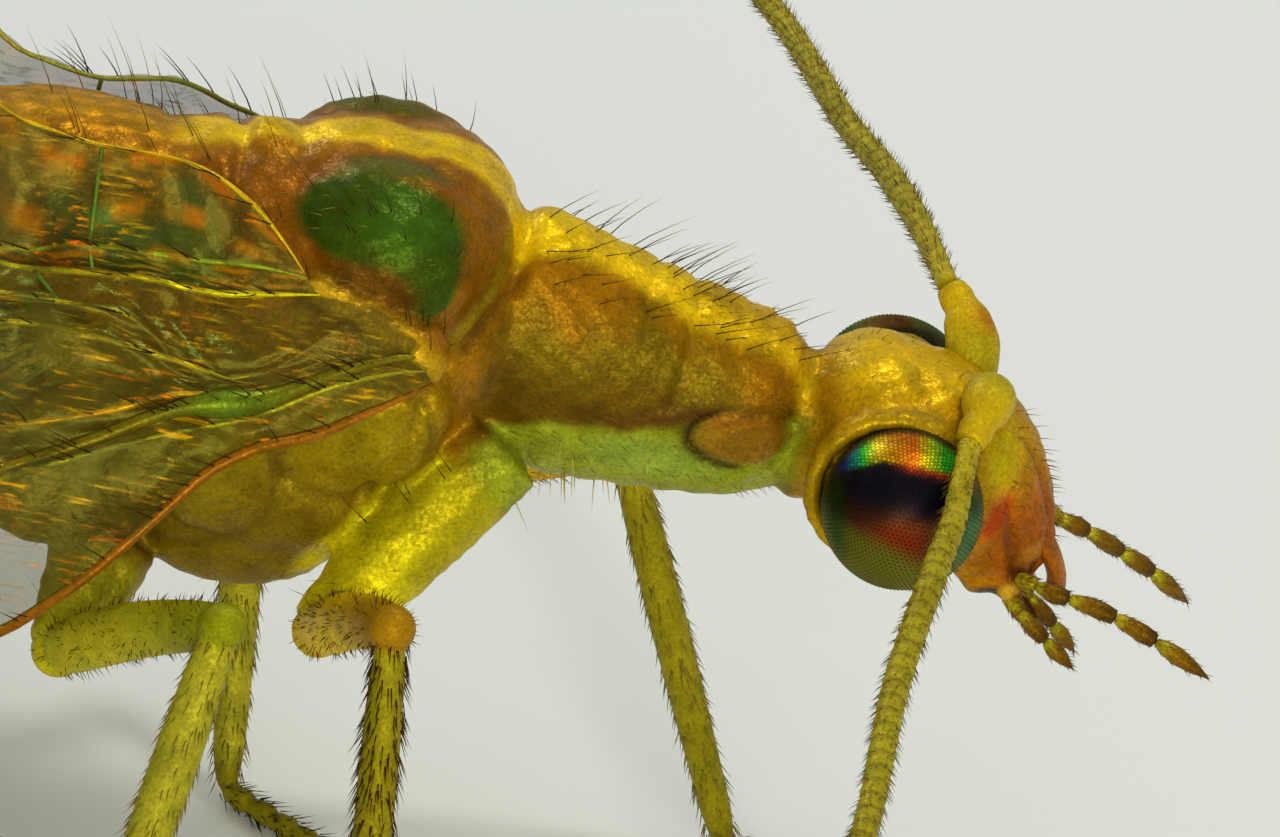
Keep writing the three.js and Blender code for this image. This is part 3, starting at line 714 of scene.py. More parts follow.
def paint_first_ring(paint, x, z):
    """Olive-brown sides over a pale underside"""
    wobble = 0.06 * np.sin(x * 9) + 0.04 * np.sin(x * 23 + z * 11)
    front = ramp(x, 0.0, 0.25) * fall(x, 1.65, 1.9)
    paint.blend("#665204", front * fall(z - wobble, 0.4, 0.75))
    paint.blend("#583c02", front * fall(z - wobble, 0.15, 0.45) * 0.85)
    edge = z - 0.04 - 0.18 * (x - 0.5) + 0.3 * wobble
    paint.blend("#50300a", front * bell(edge - 0.03, 0.045) * bell(x - 1.05, 0.4) * 0.9)
    paint.blend("#868e18", front * fall(edge, -0.08, 0.0))
    paint.patch((1.03, 0.42, -0.1), (0.34, 0.3, 0.12), "#7f9c3c", 0.8, 0.5)
    paint.blend("#9c6004", bell(x - 1.55, 0.16) * ramp(z, 0.2, 0.4) * 0.8)


def paint_flanks(paint, x, z, width):
    """Sides of the middle and hind rings, with the collar's rim and the side plates"""
    flank = fall(x, -0.2, 0.1) * ramp(x, -2.9, -2.6)
    paint.blend("#8c7404", flank * fall(z, 0.0, 0.5))
    paint.blend("#77600a", flank * fall(z, -0.6, -0.1) * 0.8)
    shoulder = fall(x, 0.1, 0.2) * bell(x + 0.05, 0.25) * 0.6 * ramp(z, 0.3, 0.6)
    paint.blend("#6a4003", shoulder * ramp(width, 0.2, 0.4))
    paint.blend("#7c4604", flank * ramp(z, 0.5, 0.8) * ramp(width, 0.15, 0.3) * fall(x, -0.3, -0.05))
    collar = x - np.interp(z, COLLAR_HEIGHTS, COLLAR_EDGES)
    rim = ramp(z, 0.3, 0.45) * fall(x, 0.45, 0.6)
    # A dark line painted along the collar's groove as shade
    paint.blend("#5c3804", bell(collar - 0.055, 0.03) * rim * 0.9)
    paint.blend("#86780e", bell(collar + 0.05, 0.05) * rim * 0.6)
    for plate in SIDE_PLATES:
        outside = oval(x, z, plate) - 1
        paint.blend("#4a3804", bell(outside, 0.07) * ramp(width, 0.4, 0.5) * 0.45)
        paint.blend("#8c7c0c", fall(outside, -0.6, -0.2) * (width > 0.4) * 0.3)


def paint_abdomen(paint, x, z):
    """Green with darker seams and pale sides"""
    tail = fall(x, -2.9, -2.6)
    paint.blend("#6f8a18", tail)
    paint.blend("#94a030", tail * fall(z, -0.8, -0.4))
    rings = np.cos((x - ABDOMEN_START) / (ABDOMEN_START - ABDOMEN_END) * ABDOMEN_RINGS * TURN)
    paint.blend("#4c5f12", tail * ramp(rings, 0.75, 1.0) * 0.6)


def paint_stripe(paint, x, y, up):
    """The yellow stripe along the back"""
    half = np.interp(x, STRIPE_PLACES, STRIPE_HALF_WIDTHS) + 0.02 * np.sin(x * 7)
    across = np.abs(y + 0.08 * bell(x + 0.15, 0.5))
    stripe = ramp(half - across, -0.05, 0.04) * ramp(up, 0.1, 0.4) * fall(x, 1.6, 1.9)
    stripe *= 1 - 0.45 * ramp(x, 0.7, 1.5)
    paint.blend("#ccaa04", stripe * 0.95)
    paint.blend("#d2aa08", stripe * bell(across - half * 0.75, 0.06) * 0.9)


def paint_coxae(paint):
    for name, joints in LEGS.items():
        root, hip = np.array(joints[0]), np.array(joints[1])
        axis = hip - root
        share = np.clip((paint.points - root) @ axis / (axis @ axis), 0, 1)
        away = np.linalg.norm(paint.points - root - share[:, None] * axis, axis=1)
        near = fall(away, 0.27, 0.36) * ramp(share, 0.0, 0.12)
        tone, lighter = ("#a49608", "#dccc10") if "front" in name else ("#8a8010", "#a89e16")
        paint.blend(tone, near)
        # Painted light: each coxa is painted lighter towards its lower end, where shade falls
        paint.blend(lighter, near * ramp(share, 0.3, 0.9))


def paint_head(paint, x, z, width):
    """Golden crown, rust-brown face with seams, and a lighter ring round each eye"""
    head = ramp(x, 1.74, 1.9)
    paint.blend("#a87c04", head)
    paint.blend("#c4a004", head * ramp(z, 0.4, 0.6) * 0.8)
    for marking in FACE_PATCHES:
        paint.patch(*marking)
    seam = bell(width - 0.17 - 0.2 * (2.95 - x), 0.022) * ramp(x, 2.62, 2.7) * fall(z, 0.25, 0.35)
    paint.blend("#7c4a04", seam * 0.7)
    for side in (-1, 1):
        from_eye = np.linalg.norm(paint.points - EYE_CENTRE * (1, side, 1), axis=1)
        paint.blend("#9c800a", fall(from_eye, 0.47, 0.56) * 0.6)
    for x_line, z_line, slope in ((2.9, -0.2, 0.35), (3.02, -0.34, 0.6)):
        line = bell(x - x_line + slope * (z - z_line), 0.018) * bell(z - z_line, 0.16)
        paint.blend("#4a1c02", line * ramp(width, 0.14, 0.2) * 0.7)
    paint.patch((3.04, 0.2, -0.28), (0.07, 0.1, 0.07), "#b87410", 0.8, 0.7)


def paint_neck(paint, x, z, width):
    """A brown plate with a dark outline on each side, and pale flecks"""
    plate_x, plate_z, half_length, _ = NECK_PLATE
    paint.patch((plate_x, 0.38, plate_z), (half_length, 0.2, 0.14), "#84500a", 0.35, 0.85)
    outline = bell(oval(x, z, NECK_PLATE) - 1.1, 0.16) * (width > 0.15)
    outline = outline * fall(x - 1.4 + 0.6 * (z - plate_z), -0.06, 0.06)
    paint.blend("#2a1004", outline * (np.abs(x - plate_x) < 0.4))
    for marking in NECK_FLECKS:
        paint.patch(*marking)


def paint_sockets(paint, x, y, z):
    """Wing sockets and the streaked back between the wings"""
    for x_hinge, y_hinge, z_hinge, radius in HINGE:
        size = (radius * 1.3, 0.16, radius * 1.1)
        paint.patch((x_hinge, y_hinge + 0.04, z_hinge), size, "#b58c12", 0.6, 0.9)
    paint.patch((-0.68, 0.92, 0.54), (0.1, 0.12, 0.06), "#5c3006", 0.5, 0.8)
    back = fall(x, -1.7, -1.5) * ramp(x, -3.1, -2.8) * ramp(z, 0.72, 0.84)
    lines = ramp(np.sin(y * 60 + 3 * np.sin(x * 5)) + 0.5 * np.sin(x * 41 + y * 17), 0.2, 1.1)
    paint.blend("#8c5c04", back * 0.8)
    paint.blend("#c98a08", back * lines * 0.8)


def paint_body(points, normals):
    x, y, z = points.T
    width = np.abs(y)
    paint = Paint(points, "#905e04")
    paint_first_ring(paint, x, z)
    paint_flanks(paint, x, z, width)
    paint_abdomen(paint, x, z)
    for marking in MUSCLE_PATCHES:
        paint.patch(*marking)
    paint_stripe(paint, x, y, normals[:, 2])
    paint_coxae(paint)
    paint_head(paint, x, z, width)
    paint_neck(paint, x, z, width)
    paint_sockets(paint, x, y, z)
    return paint


def make_body():
    nodes = ["head", "prothorax", "mesothorax", "metathorax"]
    nodes += [f"abdomen_{ring + 1}" for ring in range(ABDOMEN_RINGS)] + [f"{leg}_coxa" for leg in LEGS]
    points, normals, faces = fuse(body_shape(), BODY_VOXEL, BODY_SMOOTHING)
    points = sculpt(points, normals)
    put("body_skin", paint_body(points, normals).surface(faces), SKIN, nodes)
    return points, normals


# Eyes

FACET_ROWS = 20
FACET_DEPTH = 0.016  # of the eye's radius
EYE_FIT = 0.995
# Places across the eye and hues of the painted rainbow highlight
HIGHLIGHT_PLACES = (-0.72, -0.6, -0.48, -0.3, -0.05, 0.15, 0.35, 0.5)
HIGHLIGHT_HUES = ("#1438a0", "#04a0a0", "#1ce028", "#f8d004", "#ff9804", "#ff7404", "#d0e008", "#20b020")


def geodesic(frequency):
    """Unit points and triangles of an icosahedron whose faces are split evenly"""
    golden = (1 + math.sqrt(5)) / 2
    corners = unit([(-1, golden, 0), (1, golden, 0), (-1, -golden, 0), (1, -golden, 0),
                    (0, -1, golden), (0, 1, golden), (0, -1, -golden), (0, 1, -golden),
                    (golden, 0, -1), (golden, 0, 1), (-golden, 0, -1), (-golden, 0, 1)])
    sides = [(a, b, c) for a in range(12) for b in range(a + 1, 12) for c in range(b + 1, 12)
             if all(np.linalg.norm(corners[m] - corners[n]) < 1.1 for m, n in ((a, b), (b, c), (a, c)))]
    index, points, triangles = {}, [], []

    def at(point):
        key = tuple(np.round(point, 6) + 0.0)
        if key not in index:
            index[key] = len(points)
            points.append(point)
        return index[key]

    for a, b, c in sides:
        first, second, third = corners[a], corners[b], corners[c]
        if np.dot(np.cross(second - first, third - first), first) < 0:
            second, third = third, second
        across, over = (second - first) / frequency, (third - first) / frequency
        grid = {}
        for row in range(frequency + 1):
            for column in range(frequency + 1 - row):
                grid[row, column] = at(unit(first + across * column + over * row))
        for row in range(frequency):
            for column in range(frequency - row):
                beside, below = grid[row, column + 1], grid[row + 1, column]
                triangles.append((grid[row, column], beside, below))
                if column + row < frequency - 1:
                    triangles.append((beside, grid[row + 1, column + 1], below))
    return np.array(points), triangles


def eye_paint(directions):
    """Bands of interference colour, fixed on the right eye, for unit directions from its centre; the
    bright rainbow crescent over the top, where the eye faces the camera, is a painted highlight
    """
    across, above = directions @ PHOTO_RIGHT, directions @ PHOTO_UP
    nearness = directions @ -PHOTO_FORWARD
    rim = np.sqrt(across ** 2 + above ** 2)
    hues = np.array([linear(code) for code in HIGHLIGHT_HUES])
    highlight_band = along(across, HIGHLIGHT_PLACES, hues)
    paint = Paint(directions, "#0d0a26")
    paint.blend("#3a1a10", fall(above + 0.2 * across, -0.2, 0.12))
    paint.blend("#601c06", fall(above, -0.4, -0.04) * bell(across + 0.08, 0.38))
    paint.blend("#4c4c10", fall(above + 0.5 * across, -0.72, -0.4))
    paint.blend("#2c5a3a", ramp(across - 0.3 * above, 0.62, 0.85))
    paint.blend("#123a14", fall(across, -0.85, -0.6) * 0.9)
    # The crescent over the top is a painted highlight, with a painted orange edge below it
    arc = above - 0.5 + 0.2 * across + 0.45 * np.maximum(-across - 0.25, 0)
    facing = ramp(nearness, -0.1, 0.2)
    paint.blend("#c83c10", bell(arc - 0.02, 0.06) * facing * ramp(across, -0.2, 0.1) * 0.8)
    paint.blend(highlight_band, ramp(arc, 0.0, 0.1) * facing * fall(rim, 0.9, 0.98))
    paint.blend("#454a1c", ramp(rim, 0.92, 1.0) * ramp(nearness, -0.2, 0.2) * 0.7)
    return paint


def make_eye(label, side):
    centres, triangles = geodesic(FACET_ROWS)
    points = list(centres)
    heights = [1.0] * len(points)
    middles, faces = {}, []

    def between(a, b):
        key = (min(a, b), max(a, b))
        if key not in middles:
            middles[key] = len(points)
            points.append(unit(centres[a] + centres[b]))
            heights.append(1 - FACET_DEPTH * 0.8)
        return middles[key]

    for a, b, c in triangles:
        heart = len(points)
        points.append(unit(centres[a] + centres[b] + centres[c]))
        heights.append(1 - FACET_DEPTH)
        for first, second in ((a, b), (b, c), (c, a)):
            middle = between(first, second)
            faces.append((first, middle, heart))
            faces.append((middle, second, heart))
    directions, heights = np.array(points), np.array(heights)
    seen = directions * (1, -side, 1)
    above = seen @ PHOTO_UP
    paint = eye_paint(seen)
    # Painted shade in the grooves of the upper part, and dark hearts with lighter rims in the lower part
    grooves = ramp(1 - heights, 0.2 * FACET_DEPTH, FACET_DEPTH)
    low_part = fall(above, -0.25, 0.1)
    paint.colours *= (1 - 0.85 * grooves * (1 - low_part) - 0.7 * low_part * (1 - grooves))[:, None]
    paint.colours *= (1 + 1.3 * grooves * low_part)[:, None]
    # Painted glitter: facet centres in the upper part are made brighter and darker at random
    painted_glitter = np.ones(len(points))
    painted_glitter[:len(centres)] += random.normal(0, 0.3, len(centres)) * ramp(above[:len(centres)], 0.2, 0.4)
    paint.colours *= painted_glitter.clip(0.4, 2.0)[:, None]
    if label == "left":
        paint.blend("#14160c", ramp(directions[:, 2], 0.3, 0.6) * 0.8)
    surface = directions * heights[:, None] * EYE_RADIUS * EYE_FIT + EYE_CENTRE * (1, side, 1)
    shape = Shape().add(surface, faces, paint.colours)
    put(f"eye_{label}_facets", shape, EYE_GLAZE, [f"eye_{label}"])


# Wings

WING_ALONG = unit((-1, -WING_SPREAD, -WING_DROP))
WING_CHORDWISE = np.array([0, math.cos(WING_TILT), math.sin(WING_TILT)])
WING_OUTWARD = unit(np.cross(WING_CHORDWISE, WING_ALONG))
MEMBRANE_HALF = 0.005
MEMBRANE_COLUMNS = 97
WING_FIT = 0.995
LINE_NAMES = list(WING_LINES)
LINE_SAMPLES = 240
DISTANCES = np.linspace(0, 1, LINE_SAMPLES) ** 1.4
FAR_FOLD = 0.16
VEIN_SAMPLES, VEIN_SIDES = 130, 7
HAIR_WIDTH = 0.0048
CROSSVEIN_SAMPLES, CROSSVEIN_SIDES, CROSSVEIN_RADIUS = 7, 5, 0.013
CROSSVEINS = (
    # Between two lines of the wing: first distance, last distance, count, slant
    ("costa", "subcosta", 0.138, 0.74, 22, 0.01),
    ("radius", "sector", 0.22, 0.96, 15, 0.01),
    ("sector", "media", 0.2, 0.93, 14, -0.006),
    ("media", "cubitus", 0.16, 0.92, 12, 0.006),
    ("cubitus", "anal", 0.13, 0.9, 12, 0.008),
    ("anal", "hind", 0.112, 0.94, 14, 0.004),
)
# Each vein: radius, colour near the body, start on the front wing, hairs per millimetre
VEINS = {
    "costa": (0.03, "#84500a", 0.0, 10),
    "subcosta": (0.017, "#8a8414", 0.0, 3),
    "radius": (0.036, "#6a5c0a", 0.0, 8),
    "sector": (0.02, "#b08410", 0.055, 3),
    "media": (0.018, "#b8a410", 0.05, 5),
    "cubitus": (0.016, "#9c9014", 0.075, 3),
    "anal": (0.018, "#c4b40e", 0.0, 4),
    "second_anal": (0.014, "#7c8c18", 0.0, 3),
    "hind": (0.013, "#c49c0e", 0.0, 3),
}


def wing_point(wing, place, chord):
    """Points on the right wing's middle surface"""
    place, chord = np.broadcast_arrays(np.asarray(place, float), np.asarray(chord, float))
    front, hind = wing["breadths"]
    blunt = (ROOT_HALF_CHORD + (TIP_HALF_CHORD - ROOT_HALF_CHORD) * place) * 0.9
    low = -np.maximum(front * np.tanh(7.6 * place) * np.sqrt(np.maximum(1 - place ** 2.6, 0)), blunt)
    high = np.maximum(hind * np.sin(math.pi * np.clip(place, 0, 1) ** 1.05).clip(0) ** 0.95, blunt)
    across = low + (high - low) * chord
    bulge = WING_CAMBER * (high - low) * 4 * chord * (1 - chord) - wing["inset"]
    return (wing["root"] + WING_ALONG * (place * wing["length"] * WING_FIT)[..., None]
            + WING_CHORDWISE * across[..., None] + WING_OUTWARD * bulge[..., None])


def wing_line(wing, name):
    """Points of one line from root to tip, at even values of a shared distance"""
    near, chords = WING_LINES[name]
    places = np.concatenate([np.linspace(NEAR_REACH, 0.86, 18), [0.9, 0.93, 0.955, 0.975, 0.99, 1.0]])
    outer = wing_point(wing, places, np.interp(places, PLACES_OUT, chords))
    if wing["inset"]:
        near = wing_point(wing, np.linspace(0.0, NEAR_REACH * 0.9, 10), chords[0])
    dense = course(np.vstack([near, outer]), 1500)
    starts, tip = dense[0, 0], dense[-1, 0]
    base = starts if wing["inset"] else WING_LINES["costa"][0][0][0]
    offset = (starts - base) * np.clip(1 - DISTANCES / NEAR_REACH, 0, 1) ** 1.5
    wanted = base + (tip - base) * DISTANCES + offset
    order = np.argsort(-dense[:, 0], kind="stable")
    others = [np.interp(-wanted, -dense[order, 0], dense[order, axis]) for axis in (1, 2)]
    return np.stack([wanted, *others], axis=1)


def mirrored(points, side):
    return points * (1, -side, 1)


def on_net(net, line, distance):
    """Points of the wing at a place between its lines and a distance along it"""
    line, distance = np.broadcast_arrays(np.asarray(line, float), np.asarray(distance, float))
    rows = np.interp(distance, DISTANCES, np.arange(LINE_SAMPLES))
    low = np.clip(rows.astype(int), 0, LINE_SAMPLES - 2)
    part = (rows - low)[..., None]
    left = np.clip(line.astype(int), 0, len(LINE_NAMES) - 2)
    share = (line - left)[..., None]
    start = net[low, left] * (1 - share) + net[low, left + 1] * share
    end = net[low + 1, left] * (1 - share) + net[low + 1, left + 1] * share
    return start * (1 - part) + end * part


def sheet_faces(rows, columns):
    """Faces of a closed sheet whose upper points all come before its lower points"""
    count = rows * columns
    faces = []
    for row in range(rows - 1):
        for column in range(columns - 1):
            a = row * columns + column
            faces.append((a, a + 1, a + columns + 1, a + columns))
            faces.append((count + a, count + a + columns, count + a + columns + 1, count + a + 1))
        a, b = row * columns, (row + 1) * columns
        faces.append((a, b, count + b, count + a))
        a, b = a + columns - 1, b + columns - 1
        faces.append((a, count + a, count + b, b))
    for a in range(columns - 1):
        faces.append((a, count + a, count + a + 1, a + 1))
        b = (rows - 1) * columns + a
        faces.append((b, b + 1, count + b + 1, count + b))
    return faces


def make_membrane(name, side, net):
    """The pleated membrane of one wing, painted darker near the body, with painted orange and gold glints
    on its hind lobe
    """
    columns, rows = MEMBRANE_COLUMNS, LINE_SAMPLES
    grid = np.stack([course(row, columns) for row in net])
    chords, far = np.linspace(0, 1, columns)[None, :], DISTANCES[:, None]
    normals = unit(np.cross(np.gradient(grid, axis=1), np.gradient(grid, axis=0)))
    normals *= np.sign(np.sum(normals * WING_OUTWARD, axis=-1, keepdims=True))
    ripple = (0.010 * np.sin(far * 230 + 5 * np.sin(chords * 9)) * np.sin(chords * 38)
              + 0.008 * np.sin(chords * 70 + 9 * np.sin(far * 40))) * ramp(far, 0.01, 0.06)
    pleat = 0.02 * np.cos(chords * 8 * TURN) * ramp(far, 0.02, 0.1)
    layers = [(grid + normals * (half + ripple + pleat)[..., None]).reshape(-1, 3)
              for half in (MEMBRANE_HALF, -MEMBRANE_HALF)]
    points = mirrored(np.vstack(layers), side)
    faces = sheet_faces(rows, columns)
    if side > 0:
        faces = [face[::-1] for face in faces]
    far, chords = (np.tile(np.broadcast_to(part, (rows, columns)).ravel(), 2) for part in (far, chords))
    paint = Paint(points, "#9fb05c")
    paint.blend("#3e2a02", fall(far, 0.1, 0.34) * 0.95)
    # Painted glints: orange and gold streaks on the hind lobe
    glint_streaks = (ramp(np.sin(chords * 104 + 1.5 * np.sin(far * 60)), 0.0, 1.0)
               * ramp(np.sin(far * 170 + chords * 30) + 0.5 * np.sin(far * 410), -0.9, 0.6))
    lobe = ramp(chords, 0.7, 0.82) * fall(far, 0.12, 0.2)
    paint.blend("#d88a06", glint_streaks * lobe * 0.85)
    paint.blend("#e06208", ramp(glint_streaks, 0.6, 1.0) * lobe * ramp(chords, 0.88, 0.96) * 0.8)
    paint.blend("#8fae4a", bell(far - 0.78, 0.06) * bell(chords - 0.05, 0.05) * 0.8)
    put(f"{name}_membrane", paint.surface(faces), MEMBRANE, [name])


def make_vein(veins, net, column, name, side, start, radius, near_colour):
    """One long vein, green beyond the body, with a swelling on the radius"""
    reach = start + (1 - start) * np.linspace(0, 1, VEIN_SAMPLES) ** 1.3
    path = mirrored(on_net(net, column, reach), side)
    swelling = 1 + (1.1 * bell(reach - 0.07, 0.014) if name == "radius" else 0)
    taper = (1 - 0.7 * reach ** 0.6) * (0.3 + 0.7 * ramp(reach - start, 0.0, 0.04))
    points, faces = tube(path, radius * 1.25 * taper * swelling, VEIN_SIDES)
    reach = round_tube(reach, VEIN_SIDES, start)
    paint = Paint(points, near_colour)
    paint.blend("#7d9c2e", ramp(reach, 0.2, 0.4))
    if name == "radius":
        paint.blend("#46680e", bell(reach - 0.07, 0.02) * 0.8)
    if name == "hind" and side > 0:
        paint.blend("#4a6a30", fall(reach, 0.1, 0.3) * 0.8)
    veins.add(points, faces, paint.colours)


def make_wing(label, side, kind, wing):
    net = np.stack([wing_line(wing, name) for name in LINE_NAMES], axis=1)
    if side > 0:
        net[:, -1, 2] -= FAR_FOLD * bell(net[:, -1, 0] + 1.3, 0.4)
    make_membrane(f"{kind}_{label}", side, net)
    veins, hairs = Shape(), Shape()
    outwards = mirrored(WING_OUTWARD, side)
    for column, (name, (radius, near_colour, start, hairiness)) in enumerate(VEINS.items()):
        start = 0.0 if wing["inset"] else start
        make_vein(veins, net, column, name, side, start, radius, near_colour)
        count = int(wing["length"] * hairiness)
        spots = start + 0.02 + (0.95 - start) * random.random(count) ** 1.2
        roots = mirrored(on_net(net, column, spots), side) + outwards * radius * 0.5
        lean = np.array([-0.75, 0, 0.1]) + outwards * 0.75 + random.normal(0, 0.16, (count, 3))
        lengths = (0.1 + 0.08 * random.random(count)) * (1 + 0.6 * fall(spots, 0.1, 0.25))
        places = coat_places(spots, np.full(count, column / len(VEINS)))
        grow(hairs, roots, lean, lengths, HAIR_WIDTH, DARK_BRISTLE, places, (-1, 0, 0.2))
    for first, second, low, high, number, slant in CROSSVEINS:
        ends = LINE_NAMES.index(first), LINE_NAMES.index(second)
        share = np.linspace(0, 1, CROSSVEIN_SAMPLES)
        for distance in np.linspace(low, high, number):
            reach = np.clip(distance + slant * share, 0, 0.995)
            path = mirrored(on_net(net, ends[0] + (ends[1] - ends[0]) * share, reach), side)
            width = CROSSVEIN_RADIUS * (1 - 0.3 * distance)
            veins.add(*tube(path, width, CROSSVEIN_SIDES), linear("#5f7f28"))
    put(f"{kind}_{label}_veins", veins, VEIN, [])
    put(f"{kind}_{label}_hairs", hairs, BRISTLES, [], coat=True)


# Legs

HIP_RADIUS, KNEE_RADIUS = 0.14, 0.124
FEMUR_RADII = (0.14, 0.15, 0.145, 0.135, 0.122)
FOOT_RADII = (0.055, 0.062, SOLE_RADIUS)
FOOT_JOINTS, FOOT_GAP = 5, 0.01
LEG_VOXEL, LEG_SMOOTHING = 0.02, 6
CLAW_RADII, CLAW_COLOUR = (0.022, 0.005), linear("#74380a") * 0.6
FOOT_OLIVE = linear("#857a0c") * 0.8
# Thigh, knee, shin colours and shin radii of the front legs and of the others
FRONT_LEG = ("#d8b410", "#8e6206", "#857a0c", (0.085, 0.1, 0.1, 0.09, 0.08))
OTHER_LEG = ("#b8ac10", "#747808", "#9c9420", (0.1, 0.12, 0.115, 0.1, 0.08))
# Count, length, thickness and lean of the bristles on each joint of a foot and on a thigh
FOOT_BRISTLES = (30, 0.07, 0.004, 0.6)
THIGH_BRISTLES = (340, 0.05, 0.0032, 0.5)
# Count, length and colour of the bristles on a shin
DENSE_SHIN = (760, 0.085, "#46280a")
OTHER_SHIN = (420, 0.065, "#7a6c22")


def leg_segment(shape, start, end, radii, sides=14, bend=0.0, rings=14):
    """A gently swelling piece of a leg, a little thinner at its ends; its path and radii"""
    share = np.linspace(0, 1, rings)
    path = start + (end - start) * share[:, None]
    path[:, 2] += bend * np.sin(share * math.pi)
    radii = smooth_values(radii, rings)
    waist = 1 - 0.35 * (bell(share, 0.04) + bell(share - 1, 0.04))
    shape.add(*tube(path, radii * waist, sides), WHITE)
    return path, radii


def leg_bristles(shape, path, radii, count, length, width, lean, colour=DARK_BRISTLE):
    """Bristles round a leg piece that lean towards its far end"""
    share = random.random(count)
    axis = unit(path[-1] - path[0])
    helper = unit(np.cross(axis, (0.3, 0.2, 1.0)))
    over = np.cross(axis, helper)
    turns = random.random(count)
    radial = np.cos(turns * TURN)[:, None] * helper + np.sin(turns * TURN)[:, None] * over
    index = np.arange(len(path))
    centre = along(share * index[-1], index, path)
    radius = np.interp(share * index[-1], index, radii)
    roots = centre + radial * radius[:, None] * 0.96
    directions = radial * (1 - lean) + axis * lean + random.normal(0, 0.08, (count, 3))
    lengths = length * (0.7 + 0.6 * random.random(count))
    grow(shape, roots, directions, lengths, width, colour, coat_places(share, turns))


def nearest_on(points, path, radii):
    """Distance from each point to a leg piece's surface, and how far along the piece it lies"""
    gaps = np.linalg.norm(points[:, None, :] - path[None], axis=2) - radii[None]
    return gaps.min(axis=1), gaps.argmin(axis=1) / (len(path) - 1)


def make_leg(name, joints):
    _, hip, knee, ankle, claw = (np.array(joint) for joint in joints)
    thigh, knee_colour, shin_colour, shin_radii = FRONT_LEG if "front" in name else OTHER_LEG
    flesh, bristles, claws = Shape(), Shape(), Shape()
    flesh.add(*ball(hip, [HIP_RADIUS] * 3, 24, 16), WHITE)
    femur, femur_radii = leg_segment(flesh, hip, knee, FEMUR_RADII, bend=0.05)
    flesh.add(*ball(knee, [KNEE_RADIUS] * 3, 24, 16), WHITE)
    sole = FLOOR + SOLE_RADIUS
    heel = np.array([ankle[0], ankle[1], sole + 0.02])
    tibia, tibia_radii = leg_segment(flesh, knee, heel, shin_radii, rings=22)
    toe = np.array([claw[0], claw[1], sole])
    start = np.array([heel[0], heel[1], sole])
    stops = np.linspace(0, 1, FOOT_JOINTS + 1) ** 0.9
    for low, high in zip(stops[:-1], stops[1:]):
        ends = start + (toe - start) * low, start + (toe - start) * (high - FOOT_GAP)
        foot, foot_radii = leg_segment(flesh, *ends, FOOT_RADII, sides=10, rings=6)
        leg_bristles(bristles, foot, foot_radii, *FOOT_BRISTLES)
    axis = unit(toe - start)
    across = unit(np.cross(axis, (0, 0, 1)))
    for way in (-1, 1):
        hook = toe + np.array([axis * 0, axis * 0.07 + across * way * 0.05 + (0, 0, 0.02),
                               axis * 0.1 + across * way * 0.1 - (0, 0, 0.05)])
        claws.add(*tube(course(hook, 7), np.linspace(*CLAW_RADII, 7), 7), CLAW_COLOUR)
    points, _, faces = fuse(flesh, LEG_VOXEL, LEG_SMOOTHING)
    points[:, 2] = np.maximum(points[:, 2], FLOOR)
    to_femur, along_femur = nearest_on(points, femur, femur_radii)
    to_tibia, along_tibia = nearest_on(points, tibia, tibia_radii)
    paint = Paint(points, thigh)
    paint.blend(shin_colour, ramp(to_femur - to_tibia, 0.0, 0.03))
    paint.blend(knee_colour, ramp(along_femur, 0.35, 1.0) * ramp(to_tibia - to_femur, -0.05, 0.02) * 0.9)
    paint.blend("#b0a41a", bell(along_tibia, 0.07) * ramp(to_femur - to_tibia, 0.0, 0.04) * 0.7)
    paint.blend(FOOT_OLIVE, fall(points[:, 2], FLOOR + 0.15, FLOOR + 0.35))
    skin = paint.surface(faces).add(*claws.arrays()[:3])
    leg_bristles(bristles, femur, femur_radii, *THIGH_BRISTLES, linear("#5a3c0a"))
    count, length, shade = DENSE_SHIN if name == "leg_front_right" else OTHER_SHIN
    leg_bristles(bristles, tibia, tibia_radii, count, length, 0.0042, 0.72, linear(shade))
    nodes = [f"{name}_{part}" for part in ("femur", "tibia", "tarsus")]
    put(f"{name}_skin", skin, LEG_SKIN, nodes)
    put(f"{name}_bristles", bristles, BRISTLES, [], coat=True)


# Feelers

SCAPE_RINGS, SCAPE_SIDES = 22, 20
SCAPE_PLACES = (0, 0.12, 0.35, 0.6, 0.74, 0.82, 1)
SCAPE_RADII = (0.1, 0.125, 0.14, 0.12, 0.085, 0.092, 0.075)
RING_PITCH, RING_STEPS, FLAGELLUM_SIDES = 0.118, 6, 12
TAPER_PLACES, TAPER_RADII = (0, 0.03, 0.12, 0.75, 1), (0.056, 0.058, 0.072, 0.056, 0.03)
BRISTLES_PER_STEP = 5
PALP_RINGS, PALP_SIDES, PALP_GAP = 14, 14, 0.012
PALP_LAST = (0, 0.15, 0.4, 0.7, 1), (0.5, 0.85, 1.05, 0.72, 0.08)
PALP_OTHER = (0, 0.15, 0.4, 0.7, 1), (0.6, 0.8, 0.95, 1.05, 0.85)
PALP_BRISTLES = (60, 0.028, 0.0024, 0.65)
MANDIBLE = ((2.98, -0.12, -0.5), (3.08, -0.12, -0.66), (3.2, -0.05, -0.76))
LABRUM = ((3.08, 0, -0.24), (3.18, 0, -0.36), (3.24, 0, -0.48), (3.25, 0, -0.6))
# Radius and lengths of the joints of each kind of palp
PALPS = {"maxillary": (0.047, (0.6, 0.9, 1.3, 1.2, 1.7)), "labial": (0.044, (0.7, 1.2, 1.3))}


